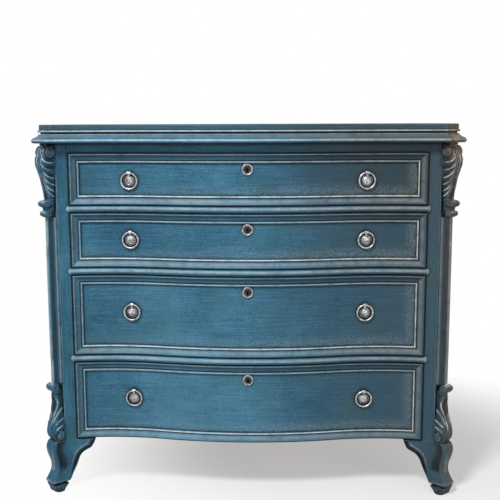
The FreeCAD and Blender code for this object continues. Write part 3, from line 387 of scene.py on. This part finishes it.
def merged_copy(node, name):
    """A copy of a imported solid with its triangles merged, as a piece of its own."""
    piece = new_piece(name, nodes[node].data.copy())
    bpy.ops.object.mode_set(mode="EDIT")
    bpy.ops.mesh.select_all(action="SELECT")
    bpy.ops.mesh.remove_doubles(threshold=0.00002)
    bpy.ops.object.mode_set(mode="OBJECT")
    return piece


def softened(piece, voxel, rounds):
    """Rebuild a piece from fine cubes and ease its arrises, ready for carving."""
    remesh = piece.modifiers.new("remesh", "REMESH")
    remesh.mode = "VOXEL"
    remesh.voxel_size = voxel
    smooth = piece.modifiers.new("smooth", "SMOOTH")
    smooth.factor = 0.5
    smooth.iterations = rounds
    bpy.ops.object.modifier_apply(modifier=remesh.name)
    bpy.ops.object.modifier_apply(modifier=smooth.name)


def corner_places(piece):
    """Each point with its normal and its place on the corner, in mm: out from the cant, to its
    side, up, and across as seen in front."""
    count = len(piece.data.vertices)
    points, normals = np.empty(count * 3), np.empty(count * 3)
    piece.data.vertices.foreach_get("co", points)
    piece.data.vertices.foreach_get("normal", normals)
    points, normals = points.reshape(-1, 3), normals.reshape(-1, 3)
    x, y = (points[:, 0] - CORNER.x) * 1000, (points[:, 1] - CORNER.y) * 1000
    side, out = (x + y) * HALF_TURN, (x - y) * HALF_TURN
    return points, normals, out, side, points[:, 2] * 1000, (out - abs(side)) * HALF_TURN


def eased(value, start, end):
    """A share that grows from 0 at the start to 1 at the end."""
    return np.clip((value - start) / (end - start), 0, 1)


def smooth_line(points, steps=8):
    """A smooth line through given points."""
    p = np.array(points, float)
    p = np.vstack([2 * p[0] - p[1], p, 2 * p[-1] - p[-2]])
    t = np.linspace(0, 1, steps, endpoint=False)[:, None]
    runs = [0.5 * (2 * b + (c - a) * t + (2 * a - 5 * b + 4 * c - d) * t ** 2
                   + (3 * b - a - 3 * c + d) * t ** 3)
            for a, b, c, d in zip(p, p[1:], p[2:], p[3:])]
    return np.vstack(runs + [p[-2:-1]])


def from_line(line, across, up):
    """Distance of each place from a line, which side of it that is, and how far along."""
    nearest = np.full(len(across), 1e9)
    hand = np.zeros(len(across))
    along = np.zeros(len(across))
    for index, (start, end) in enumerate(zip(line, line[1:])):
        run = end - start
        dx, dz = across - start[0], up - start[1]
        share = np.clip((dx * run[0] + dz * run[1]) / (run @ run), 0, 1)
        dx, dz = dx - share * run[0], dz - share * run[1]
        gap = np.hypot(dx, dz)
        nearer = gap < nearest
        nearest[nearer] = gap[nearer]
        hand[nearer] = (run[0] * dz - run[1] * dx)[nearer]
        along[nearer] = (index + share[nearer]) / (len(line) - 1)
    return nearest, hand, along


def leaf_edges(edges, across, up, easy, steep=1.4, shares=(0.25, 1, 1, 0.7)):
    """Relief of leaf edges: steep above their lines, easing away below, with shares of the
    crest's height at four places along."""
    relief = np.zeros(len(up))
    for edge in edges:
        gap, hand, along = from_line(smooth_line(edge), across, up)
        taper = np.interp(along, (0, 0.3, 0.8, 1), shares)
        slope = np.where(hand < 0, steep, easy)
        relief = np.maximum(relief, CREST * taper * np.exp(-(gap / slope) ** 2))
    return relief


def volute(centre, outer, inner, turns, across, up, squeeze=0.8, hand=1, start=0.0, width=1.4):
    """Relief of a spiral fillet, 2.4 mm high, that winds in to a round eye."""
    height = 2.4
    angles = np.linspace(0, turns * 2 * math.pi, int(turns * 24))
    radii = np.linspace(outer, inner, len(angles))
    line = np.column_stack([centre[0] + squeeze * radii * np.cos(start + hand * angles),
                            centre[1] + radii * np.sin(start + hand * angles)])
    gap, _, _ = from_line(line, across, up)
    eye = np.hypot((across - centre[0]) / squeeze, up - centre[1])
    return np.maximum(height * np.exp(-(gap / width) ** 2),
                      height * 1.2 * np.exp(-(eye / (inner * 0.9)) ** 2))


def with_volute(relief, centre, clear, across, up, *spiral, **turned):
    """Relief with a volute in a cleared place."""
    relief[np.hypot((across - centre[0]) / 0.8, up - centre[1]) < clear] = 0
    return np.maximum(relief, volute(centre, *spiral, across, up, **turned))


def leaf_cut(relief, ground, side, across):
    """How far each place moves, in mm, and its tone, low on the ground for painted shade and high on
    the crests. The outer flank is cut shallow and only inwards, so that the outline stays smooth
    from the front."""
    arris = eased(across, 13, 7)
    outer = SHALLOW * arris * (np.minimum(relief, CREST) - CREST)
    tone = np.where(ground, 0.28, 0.5) + np.where(ground, 0.72, 0.5) * relief / CREST
    return np.where(side > 0, outer, relief - np.where(ground, GROUND, 0)), tone


def carve(piece, points, normals, depth, tone):
    """Move each point along its normal, by a depth in mm, keep its tone for the paint, and ease
    the cut."""
    layer = piece.data.attributes.new("carving", "FLOAT", "POINT")
    layer.data.foreach_set("value", tone.astype(np.float32))
    piece.data.vertices.foreach_set("co", (points + normals * (depth / 1000)[:, None]).ravel())
    piece.data.update()
    easing = piece.modifiers.new("easing", "SMOOTH")
    easing.factor = 0.4
    easing.iterations = 1
    bpy.ops.object.modifier_apply(modifier=easing.name)
    bpy.ops.object.shade_smooth()


def carved_pair(piece, left_name, node, paint):
    """Finish the right-hand carving, make its mirrored twin, and put both in the nodes' places."""
    twin = new_piece(left_name, piece.data.copy())
    twin.data.transform(Matrix.Scale(-1, 4, (1, 0, 0)))
    bpy.ops.object.mode_set(mode="EDIT")
    bpy.ops.mesh.select_all(action="SELECT")
    bpy.ops.mesh.remove_doubles(threshold=0.00001)
    bpy.ops.mesh.normals_make_consistent(inside=False)
    bpy.ops.object.mode_set(mode="OBJECT")
    for carving, side in ((piece, "right_"), (twin, "left_")):
        carving.data.materials.clear()
        carving.data.materials.append(paint)
        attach(carving, "carcass")
        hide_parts(side + node)


console_low, console_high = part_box("right_console")
base = console_low[2] * 1000
console = merged_copy("right_console", "right_console_carving")
softened(console, 0.0011, 4)
points, normals, out, side, up, across = corner_places(console)
drop = console_high[2] * 1000 - up
# Each lobe runs in across and down from the head, in mm
lobes = (
    ((17, 18), (14, 31), (6, 42), (-4, 48), (-16, 50)),
    ((19, 27), (15, 44), (8, 57), (-2, 66), (-14, 71)),
    ((19, 40), (14, 60), (6, 76), (-5, 87), (-17, 92)),
    ((17, 56), (12, 78), (4, 95), (-7, 105), (-18, 110)),
    ((14, 74), (9, 96), (2, 112), (-8, 122), (-17, 126)),
    ((11, 92), (6, 113), (0, 127), (-7, 136), (-15, 139)),
)
relief = leaf_edges([[(a, -d) for a, d in lobe] for lobe in lobes], across, -drop, 6.5)
# Three stems run down the outer side from the volute and meet at the rolls; the lobes end at them
STEM = ((25, 3), (19.5, 13), (17, 28), (17, 46), (14.5, 65), (11, 85), (7.5, 106), (4, 126), (1, 141))
STEM_SPREADS = (-0.2, 0.12, 0.44)
stems = [[(a + spread * (a + 3), -d) for a, d in STEM] for spread in STEM_SPREADS]
stem_across = np.interp(drop, [d for _, d in STEM], [a for a, _ in stems[0]])
relief *= eased(stem_across - across, -1.5, 1.5)
relief = np.maximum(relief, leaf_edges(stems, across, -drop, 2.3, 2.3, (1, 1, 0.95, 0.7)))
relief = with_volute(relief, (-8, -21), 15, across, -drop, 13.5, 2.6, 1.9, hand=-1, start=0.6)
ends = abs(side) > ROLL_END
ROLL_LOW, ROLL_HIGH = 9.0, 36.0
for centre_out, centre_up, radius in ((18, base + ROLL_LOW, 7.5), (21, base + ROLL_HIGH, 8.0)):
    eye = volute((centre_out, centre_up), radius, 1.8, 1.4, out, up, squeeze=1, width=1.2)
    relief = np.where(ends & (np.hypot(out - centre_out, up - centre_up) < radius + 2), eye, relief)
LEAF_TOP, LEAF_END = 8, 146
cut, tone = leaf_cut(relief, (across < 26) & (drop > LEAF_TOP) & (drop < LEAF_END), side, across)
# The rolls stand a little further out than the block they are cut from
moved = 3.0 * eased(drop, LEAF_END, LEAF_END + 6) * eased(out, 8, 18)
# The head is cut back, and the leaf built out, to one smooth sweep
HEAD_DROPS, HEAD_CUTS = (0, 6, 15, 24, 34, 48, 62, 78, 95), (0, -3, -5, -3, 0, 3, 3.4, 1.5, 0)
moved += np.interp(drop, HEAD_DROPS, HEAD_CUTS) * eased(out, 8, 22)
points[:, 0] += moved * HALF_TURN / 1000
points[:, 1] -= moved * HALF_TURN / 1000
# The rolls are lighter on top and darker underneath, as painted highlight and painted shade
roll_turn = np.cos((up - base - 15) * 2 * math.pi / (ROLL_HIGH - ROLL_LOW))
roll_light_and_shade = np.where(ends, 0.4 + 0.18 * relief + 0.1 * roll_turn, 0.62 + 0.32 * roll_turn)
tone = np.where(drop > LEAF_END + 4, roll_light_and_shade, tone)
carve(console, points, normals, cut * eased(out, 0.5, 3.5), tone)
carved_pair(console, "left_console_carving", "console", carved_paint)

# Lower scrolls
# The same carving turned over, at the pilaster bases: a volute at the foot, leaf edges
# sweeping up from it, and an outward roll with a spiral on each end at the head.
scroll = merged_copy("right_lower_scroll", "right_lower_scroll_carving")
softened(scroll, 0.0011, 4)
points, normals, out, side, up, across = corner_places(scroll)
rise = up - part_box("right_lower_scroll")[0][2] * 1000
edges = (
    ((12, 6), (18.5, 28), (17, 50), (10, 74), (2.5, 96), (2, 112), (10, 124)),
    ((14.5, 30), (12, 50), (4, 70), (-6, 86), (-16, 94)),
    ((9, 36), (3, 49), (-8, 59), (-18, 65)),
    ((6, 26), (1, 35), (-8, 42), (-18, 46)),
)
relief = leaf_edges(edges, across, rise, 7.0)
relief = with_volute(relief, (-8, 16), 13.5, across, rise, 11.5, 2.4, 1.8, start=1.2)
ROLL_OUT, ROLL_RISE, ROLL_RADIUS = 20, 148.5, 9.5
ends = abs(side) > ROLL_END
eye = volute((ROLL_OUT, ROLL_RISE), ROLL_RADIUS, 2.0, 1.6, out, rise, squeeze=1, width=1.3)
in_roll = np.hypot(out - ROLL_OUT, rise - ROLL_RISE) < ROLL_RADIUS + 2.5
relief = np.where(ends & in_roll, eye, relief)
cut, tone = leaf_cut(relief, (across < 17) & (rise > 4) & (rise < 132), side, across)
# The roll is lighter on top and darker underneath, as painted highlight and painted shade
roll_turn = np.clip((rise - ROLL_RISE) / 9, -1, 1)
tone = np.where(rise > 136, np.where(ends, 0.4 + 0.2 * relief, 0.62 + 0.32 * roll_turn), tone)
carve(scroll, points, normals, cut * eased(out, 0.5, 3.5), tone)
carved_pair(scroll, "left_lower_scroll_carving", "lower_scroll", carved_paint)

# Front feet
# Cabriole feet sawn and carved from the solid: knee, ankle and lipped toe on a block, with
# a wing along each side whose lower edge is a rounded rim round a hollow.
RIM, UNDERCUT, HOLLOW = 2.6, 6.0, 7.0
foot = merged_copy("right_front_foot", "right_front_foot_carving")
softened(foot, 0.0015, 6)
points, normals, out, side, up, across = corner_places(foot)
rim_line = ((-95, 144), (-91.7, 133), (-85.6, 121), (-72.8, 113), (-61.7, 105.5), (-54, 96),
            (-47.3, 82), (-41.2, 66), (-35, 51), (-29, 38), (-24, 27), (-8, 25), (12, 27), (34, 30))
gap, _, _ = from_line(smooth_line(rim_line), across, up)
facing = np.where(side > 0, normals[:, 0], -normals[:, 1])
on_toe = eased(across, -40, -20)
rim = RIM * np.exp(-((gap - 16 + 12 * on_toe) / (6 - 2 * on_toe)) ** 2)
# Outside the rim the sawn edge is cut back; beside the knee lies a hollow
under = UNDERCUT * eased(gap, 12, 3) * (1 - on_toe)
hollow_line = ((-9.6, 145), (-6, 119), (-9.6, 90), (-11.4, 73), (-11.4, 52))
from_hollow, _, _ = from_line(smooth_line(hollow_line), across, up)
hollow = HOLLOW * np.exp(-(from_hollow / 10) ** 2) * eased(up, 45, 65)
shown = eased(facing, 0.15, 0.55) * eased(up, 18, 24) * eased(up, 143, 139)
# The block under the toe is wider than its blank, tapers down and stands flat
BLOCK_MIDDLE, BLOCK_TOP, BLOCK_SPREAD, BLOCK_TAPER, BASE_SPREAD = 18.0, 23.0, 0.85, 0.35, 0.12
in_block = eased(up, BLOCK_TOP, BLOCK_TOP - 4)
spread = 1 + in_block * (BLOCK_SPREAD - BLOCK_TAPER * eased(up, BLOCK_TOP, 0))
spread += BASE_SPREAD * eased(up, 5, 0)
grown_out = BLOCK_MIDDLE + (out - BLOCK_MIDDLE) * spread
grown_side = side * spread
points[:, 0] = CORNER.x + (grown_side + grown_out) * HALF_TURN / 1000
points[:, 1] = CORNER.y + (grown_side - grown_out) * HALF_TURN / 1000
points[:, 2] -= np.clip(up, 0, 4) * eased(up, 4, 0) / 1000
# Painted shade darkens the hollow, the cut-back edge and the wing's turned-away edge, and the block
# is darker with its reeds striped in painted light and shade; the rim is rubbed pale and lit, and the
# knee has a painted highlight
REED_PITCH = 6.0
knee_highlight = np.exp(-((across - 16) / 9) ** 2) * eased(up, 40, 60) * eased(up, 140, 120)
edge = eased(facing, 0.35, 0.05) * eased(gap, 16, 10) * (1 - on_toe)
tone = 0.55 + (0.14 * rim - 0.04 * hollow - 0.1 * under) * shown + 0.34 * knee_highlight - 0.25 * edge
tone += in_block * (0.33 + 0.1 * np.cos(across * 2 * math.pi / REED_PITCH) - tone)
carve(foot, points, normals, (rim - hollow - under) * shown, tone)
carved_pair(foot, "left_front_foot_carving", "front_foot", carved_paint)

# Drawer boxes
# Pine sides, back and bottom behind the painted fronts, left bare, with the grain from
# front to back.
for number in (1, 2, 3, 4):
    finish(f"drawer_{number}_box", pine_deep)

# Drawer fronts and their mouldings
# Serpentine fronts in a mitred frame moulding of arris, hollow, quirk and inner bead. The
# inner bead is rubbed to pale chalk, most on its lower and right-hand runs, which face the light
# and are brightened partly as painted highlight. Gaps, quirks and the upper and left hollows
# are darkened as painted shade.


def framed_lines(low, high, levels, patch_low):
    """Makes lines along the four runs of one drawer's moulding, from its corners. Each level is
    a distance in from the moulding's edge, a half width, and the strengths of its lower, upper,
    right and left runs."""
    def lines(tree, spot, patchy):
        gaps = (maths(tree, "SUBTRACT", spot[2], low[2]), maths(tree, "SUBTRACT", high[2], spot[2]),
                maths(tree, "SUBTRACT", high[0], spot[0]), maths(tree, "SUBTRACT", spot[0], low[0]))
        nearest = maths(tree, "MINIMUM", *gaps)
        bands = []
        for index, gap in enumerate(gaps):
            here = ramped(tree, maths(tree, "SUBTRACT", gap, nearest), 0.002, 0.0005)
            for line, half, strengths in levels:
                off = maths(tree, "ABSOLUTE", maths(tree, "SUBTRACT", gap, line))
                band = ramped(tree, off, half, half * 0.3, high=strengths[index])
                bands.append(maths(tree, "MULTIPLY", band, here))
        patch = ramped(tree, patchy, 0.3, 0.55, low=patch_low)
        return maths(tree, "MULTIPLY", maths(tree, "MAXIMUM", *bands), patch)
    return lines


# Pale lines: the rubbed inner bead and arris, and a painted highlight on the lower run's
# upward-facing hollow. Dark lines, painted shade: the gap round the drawer, the hollow of the upper
# and left runs, and the quirk beside the bead.
BEAD_RUBS_AND_HIGHLIGHTS = ((0.0228, 0.0024, (1.0, 0.4, 0.95, 0.32)), (0.0040, 0.0014, (0.1, 0.4, 0.05, 0.3)),
             (0.0110, 0.0070, (0.22, 0.0, 0.16, 0.05)))
MOULDING_SHADE = ((0.0, 0.0036, (1.0, 1.0, 1.0, 1.0)), (0.0088, 0.0060, (0.1, 0.7, 0.2, 0.5)),
          (0.0192, 0.0026, (0.95, 0.95, 0.95, 0.95)))
PANEL_MARGIN, DUST_WIDTH = 0.027, 0.05


def dusty_margin(low, high):
    """Makes the pale specks that rubbing leaves in the lower and right-hand margins of a panel."""
    def lines(tree, spot, patchy):
        below = maths(tree, "SUBTRACT", spot[2], low[2] + PANEL_MARGIN)
        beside = maths(tree, "SUBTRACT", high[0] - PANEL_MARGIN, spot[0])
        near = maths(tree, "MINIMUM", below, beside)
        band = ramped(tree, near, DUST_WIDTH, 0, high=0.6, curve="SMOOTHERSTEP")
        # More of it towards the right end, as specks of about 4 mm
        share = ramped(tree, spot[0], -0.4, 0.4, low=0.35)
        place = add(tree, "ShaderNodeTexCoord").outputs["Object"]
        speck = ramped(tree, noise(tree, place, 420, 3, 0.7), 0.45, 0.7)
        return maths(tree, "MULTIPLY", maths(tree, "POWER", band, 2), share, speck)
    return lines


# The upper drawers get painted shade at their right-hand ends
for number, right_end_shade in ((1, 0.45), (2, 0.15), (3, 0.0), (4, 0.0)):
    low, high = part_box(f"drawer_{number}_moulding")
    finish(f"drawer_{number}_front",
           chalk_paint(f"chalk_paint_panel_{number}", ALONG_X, wear=0.6,
                       lines=dusty_margin(low, high), bare_back=True, right_end_shade=right_end_shade))
    finish(f"drawer_{number}_moulding",
           chalk_paint(f"chalk_paint_moulding_{number}", ALONG_X, wax_and_shade_depth=1.3, seams=True, right_end_shade=right_end_shade,
                       lines=framed_lines(low, high, BEAD_RUBS_AND_HIGHLIGHTS, 0.25),
                       quirks=framed_lines(low, high, MOULDING_SHADE, 0.6)))

# Ring pulls and escutcheons
# Cast pewter-coloured metal, tarnished: pale where it is handled, brown-black in the
# hollows. Each rosette has a beaded rim, a ring of petals and a boss, under a knuckle.
DISH_RADIUS = 0.0108


def tarnished_metal(name, dish=None):
    """Cast white metal with dark tarnish in its hollows; dish is the middle of a blackened dish."""
    material, tree, shader, place = plain_material(name)
    # Tarnish in blotches of about 8 mm
    blotch = noise(tree, place, 120, 4, 0.6)
    colour = toned(tree, blotch, ((0.35, "#7C7C7E"), (0.65, "#CBCDD0")))
    corner = add(tree, "ShaderNodeAmbientOcclusion", {"Distance": 0.006}, samples=8).outputs["AO"]
    colour = mixed(tree, ramped(tree, corner, 0.9, 0.45), colour, "#0E0C0A")
    if dish:
        away = add(tree, "ShaderNodeVectorMath", {0: place, 1: dish}, operation="SUBTRACT").outputs[0]
        level = add(tree, "ShaderNodeVectorMath", {0: away, 1: (1, 0, 1)}, operation="MULTIPLY")
        reach = add(tree, "ShaderNodeVectorMath", {0: level.outputs[0]}, operation="LENGTH")
        black = ramped(tree, reach.outputs["Value"], DISH_RADIUS, DISH_RADIUS - 0.002, high=0.92)
        colour = mixed(tree, black, colour, "#141518")
    tree.links.new(colour, shader.inputs["Base Color"])
    shader.inputs["Metallic"].default_value = 0.85
    tree.links.new(ramped(tree, blotch, 0, 1, 0.28, 0.5), shader.inputs["Roughness"])
    relief = add(tree, "ShaderNodeBump", {"Height": blotch, "Strength": 0.2, "Distance": 0.0004})
    tree.links.new(relief.outputs[0], shader.inputs["Normal"])
    return material


def select_faces(piece, wanted):
    """Go on editing a piece with only the faces selected whose normals are wanted."""
    bpy.ops.object.mode_set(mode="EDIT")
    bpy.ops.mesh.select_mode(type="FACE")
    bpy.ops.mesh.select_all(action="DESELECT")
    bpy.ops.object.mode_set(mode="OBJECT")
    for face in piece.data.polygons:
        face.select = wanted(face.normal)
    bpy.ops.object.mode_set(mode="EDIT")


pull_metal = tarnished_metal("tarnished_white_metal")
for number in (1, 2, 3, 4):
    for piece in ("rosettes", "left_ring", "right_ring"):
        finish(f"drawer_{number}_{piece}", pull_metal)
    low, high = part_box(f"drawer_{number}_escutcheon")
    middle = [(a + b) / 2 for a, b in zip(low, high)]
    finish(f"drawer_{number}_escutcheon", tarnished_metal(f"tarnished_escutcheon_{number}", middle))

# The turned and chased face of a rosette, from a disc: each step is a smaller circle and its
# height, in mm
FACE_STEPS = ((14.5, 3.6), (14.2, 4.5), (13.5, 4.7), (13.0, 4.0), (12.6, 2.4), (11.3, 2.4),
              (10.9, 4.0), (10.5, 5.0), (9.6, 5.4), (8.9, 5.1), (8.6, 5.0), (7.0, 5.9),
              (4.5, 6.9), (2.6, 7.4), (2.4, 8.3), (1.6, 8.9), (0.8, 9.1))
DISC_RADIUS, DISC_LOW, DISC_HIGH = 14.6, 1.0, 2.0
bpy.ops.object.select_all(action="DESELECT")
bpy.ops.mesh.primitive_cylinder_add(
    vertices=48, radius=DISC_RADIUS / 1000, depth=(DISC_HIGH - DISC_LOW) / 1000,
    location=(0, 0, (DISC_LOW + DISC_HIGH) / 2000))
rosette = bpy.context.object
bpy.ops.object.transform_apply(location=True, rotation=True, scale=True)
select_faces(rosette, lambda normal: normal.z > 0.9)
radius, height = DISC_RADIUS, DISC_HIGH
for next_radius, next_height in FACE_STEPS:
    bpy.ops.mesh.extrude_region_move(
        TRANSFORM_OT_translate={"value": (0, 0, (next_height - height) / 1000)})
    share = next_radius / radius
    bpy.ops.transform.resize(value=(share, share, 1), center_override=(0, 0, next_height / 1000))
    radius, height = next_radius, next_height
bpy.ops.object.mode_set(mode="OBJECT")
# Eight petals lie round the boss
PETALS, PETAL_RING, PETAL_HEIGHT, PETAL_LENGTH = 8, 0.0056, 0.0063, 0.0027
petals = []
for index in range(PETALS):
    turn = index * 2 * math.pi / PETALS
    bpy.ops.object.select_all(action="DESELECT")
    bpy.ops.mesh.primitive_uv_sphere_add(
        segments=14, ring_count=8, radius=PETAL_LENGTH, rotation=(0, 0, turn),
        location=(PETAL_RING * math.cos(turn), PETAL_RING * math.sin(turn), PETAL_HEIGHT))
    bpy.context.object.scale = (1, 0.62, 0.5)
    petals.append(bpy.context.object)
# A rolled knuckle, hollow for the ring, stands at the head
KNUCKLE_LENGTH, KNUCKLE_RADIUS, KNUCKLE_WALL = 0.010, 0.005, 0.0016
RING_STAND, RING_RADIUS = 0.006, 0.021
bpy.ops.object.select_all(action="DESELECT")
bpy.ops.mesh.primitive_cylinder_add(
    vertices=32, radius=KNUCKLE_RADIUS, depth=KNUCKLE_LENGTH,
    rotation=(0, math.pi / 2, 0), location=(0, RING_RADIUS, RING_STAND))
knuckle = bpy.context.object
bpy.ops.object.transform_apply(location=True, rotation=True, scale=True)
select_faces(knuckle, lambda normal: abs(normal.x) > 0.9)
bpy.ops.mesh.inset(thickness=KNUCKLE_WALL, use_individual=True)
bpy.ops.mesh.bridge_edge_loops()
bpy.ops.object.mode_set(mode="OBJECT")
rounding = knuckle.modifiers.new("rounding", "BEVEL")
rounding.width = 0.0006
rounding.segments = 2
rounding.limit_method = "ANGLE"
bpy.ops.object.modifier_apply(modifier=rounding.name)
bpy.ops.object.select_all(action="DESELECT")
for piece in petals + [knuckle, rosette]:
    piece.select_set(True)
bpy.context.view_layer.objects.active = rosette
bpy.ops.object.join()
bpy.ops.object.transform_apply(location=True, rotation=True, scale=True)
bpy.ops.object.shade_smooth_by_angle(angle=math.radians(40))
rosette.data.materials.clear()
rosette.data.materials.append(pull_metal)
hinges = {joint["name"]: joint for joint in frame["record"]["behaviour"]["joints"]}
for number in (1, 2, 3, 4):
    for side in ("left", "right"):
        hinge = hinges[f"drawer_{number}_{side}_ring_hinge"]
        across = -Vector(hinge["axis"])
        up = Vector((0, 0, 1))
        face = across.cross(up)
        seat = Vector(hinge["pos_m"]) - up * RING_RADIUS - face * RING_STAND
        chased = bpy.data.objects.new(f"drawer_{number}_{side}_rosette_face", rosette.data.copy())
        scene.collection.objects.link(chased)
        chased.data.transform(Matrix((across, up, face)).transposed().to_4x4())
        chased.data.transform(Matrix.Translation(seat))
        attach(chased, f"drawer_{number}")
bpy.data.objects.remove(rosette)

# Locks and bolts
# Iron rim locks let into the backs of the fronts, black with age. Each bolt slides up from
# its lock.
lock_iron, tree, shader, place = plain_material("black_lock_iron")
rust = toned(tree, noise(tree, place, 90, 5), ((0.4, "#2A2826"), (0.75, "#4E4037")))
tree.links.new(rust, shader.inputs["Base Color"])
shader.inputs["Metallic"].default_value = 0.7
shader.inputs["Roughness"].default_value = 0.55
for number in (1, 2, 3, 4):
    finish(f"drawer_{number}_lock", lock_iron)
    finish(f"drawer_{number}_bolt", lock_iron)

# The studio
# A pale floor that fades to white, a large soft lamp at the upper left, a weak one at the
# right, and a white surround.
bpy.ops.object.select_all(action="DESELECT")
bpy.ops.mesh.primitive_circle_add(vertices=96, radius=9, fill_type="NGON", location=(0, 0, 0))
floor = bpy.context.object
floor.name = "floor"
SHADE_MIDDLE = (0.3, 0.1, 0)
paper, tree, shader, place = plain_material("paper_floor")
shader.inputs["Base Color"].default_value = linear("#F4F4F4")
shader.inputs["Roughness"].default_value = 0.9
shader.inputs["Specular IOR Level"].default_value = 0.1
white = add(tree, "ShaderNodeEmission", {"Color": (1, 1, 1, 1), "Strength": 1})
shaded = add(tree, "ShaderNodeVectorMath", {0: place, 1: SHADE_MIDDLE}, operation="SUBTRACT")
away = add(tree, "ShaderNodeVectorMath", {0: shaded.outputs[0]}, operation="LENGTH")
fade = ramped(tree, away.outputs["Value"], 0.35, 1, 0.4, 1, "SMOOTHSTEP")
ray = add(tree, "ShaderNodeLightPath").outputs
seen = maths(tree, "MULTIPLY", fade, ray["Is Camera Ray"])
blend = add(tree, "ShaderNodeMixShader", {0: seen, 1: shader.outputs[0], 2: white.outputs[0]})
tree.links.new(blend.outputs[0], tree.nodes["Material Output"].inputs["Surface"])
floor.data.materials.append(paper)

world = bpy.data.worlds.new("white_surround")
scene.world = world
world.use_nodes = True
tree = world.node_tree
ray = add(tree, "ShaderNodeLightPath").outputs
clear = maths(tree, "MAXIMUM", ray["Is Camera Ray"], ray["Is Glossy Ray"], ray["Is Transmission Ray"])
backdrop = tree.nodes["Background"]
backdrop.inputs["Color"].default_value = (1, 1, 1, 1)
tree.links.new(ramped(tree, clear, 0, 1, 0.28, 1), backdrop.inputs["Strength"])

for name, place, aim, size, power in (
        ("key_lamp", (-1.0, -2.3, 3.2), (0, -0.2, 0.5), 0.8, 112),
        ("fill_lamp", (2.4, -2.6, 1.5), (0, -0.2, 0.5), 1.8, 14)):
    lamp = bpy.data.lights.new(name, "AREA")
    lamp.shape = "DISK"
    lamp.size = size
    lamp.energy = power
    lamp_object = bpy.data.objects.new(name, lamp)
    scene.collection.objects.link(lamp_object)
    lamp_object.location = place
    lamp_object.rotation_euler = (Vector(aim) - Vector(place)).to_track_quat("-Z", "Y").to_euler()

CAMERA_PLACE = (0.0634, -2.449, 1.0065)
CAMERA_TURN, CAMERA_DIP, CAMERA_ROLL = 1.479, 8.524, -0.20
camera_data = bpy.data.cameras.new("camera")
camera_data.sensor_width = 36
camera_data.lens = 61.22
camera_data.clip_end = 50
camera = bpy.data.objects.new("camera", camera_data)
scene.collection.objects.link(camera)
camera.matrix_world = (Matrix.Translation(CAMERA_PLACE)
                       @ Matrix.Rotation(math.radians(CAMERA_TURN), 4, "Z")
                       @ Matrix.Rotation(math.radians(90 - CAMERA_DIP), 4, "X")
                       @ Matrix.Rotation(math.radians(CAMERA_ROLL), 4, "Z"))
scene.camera = camera
scene.view_settings.view_transform = "Standard"
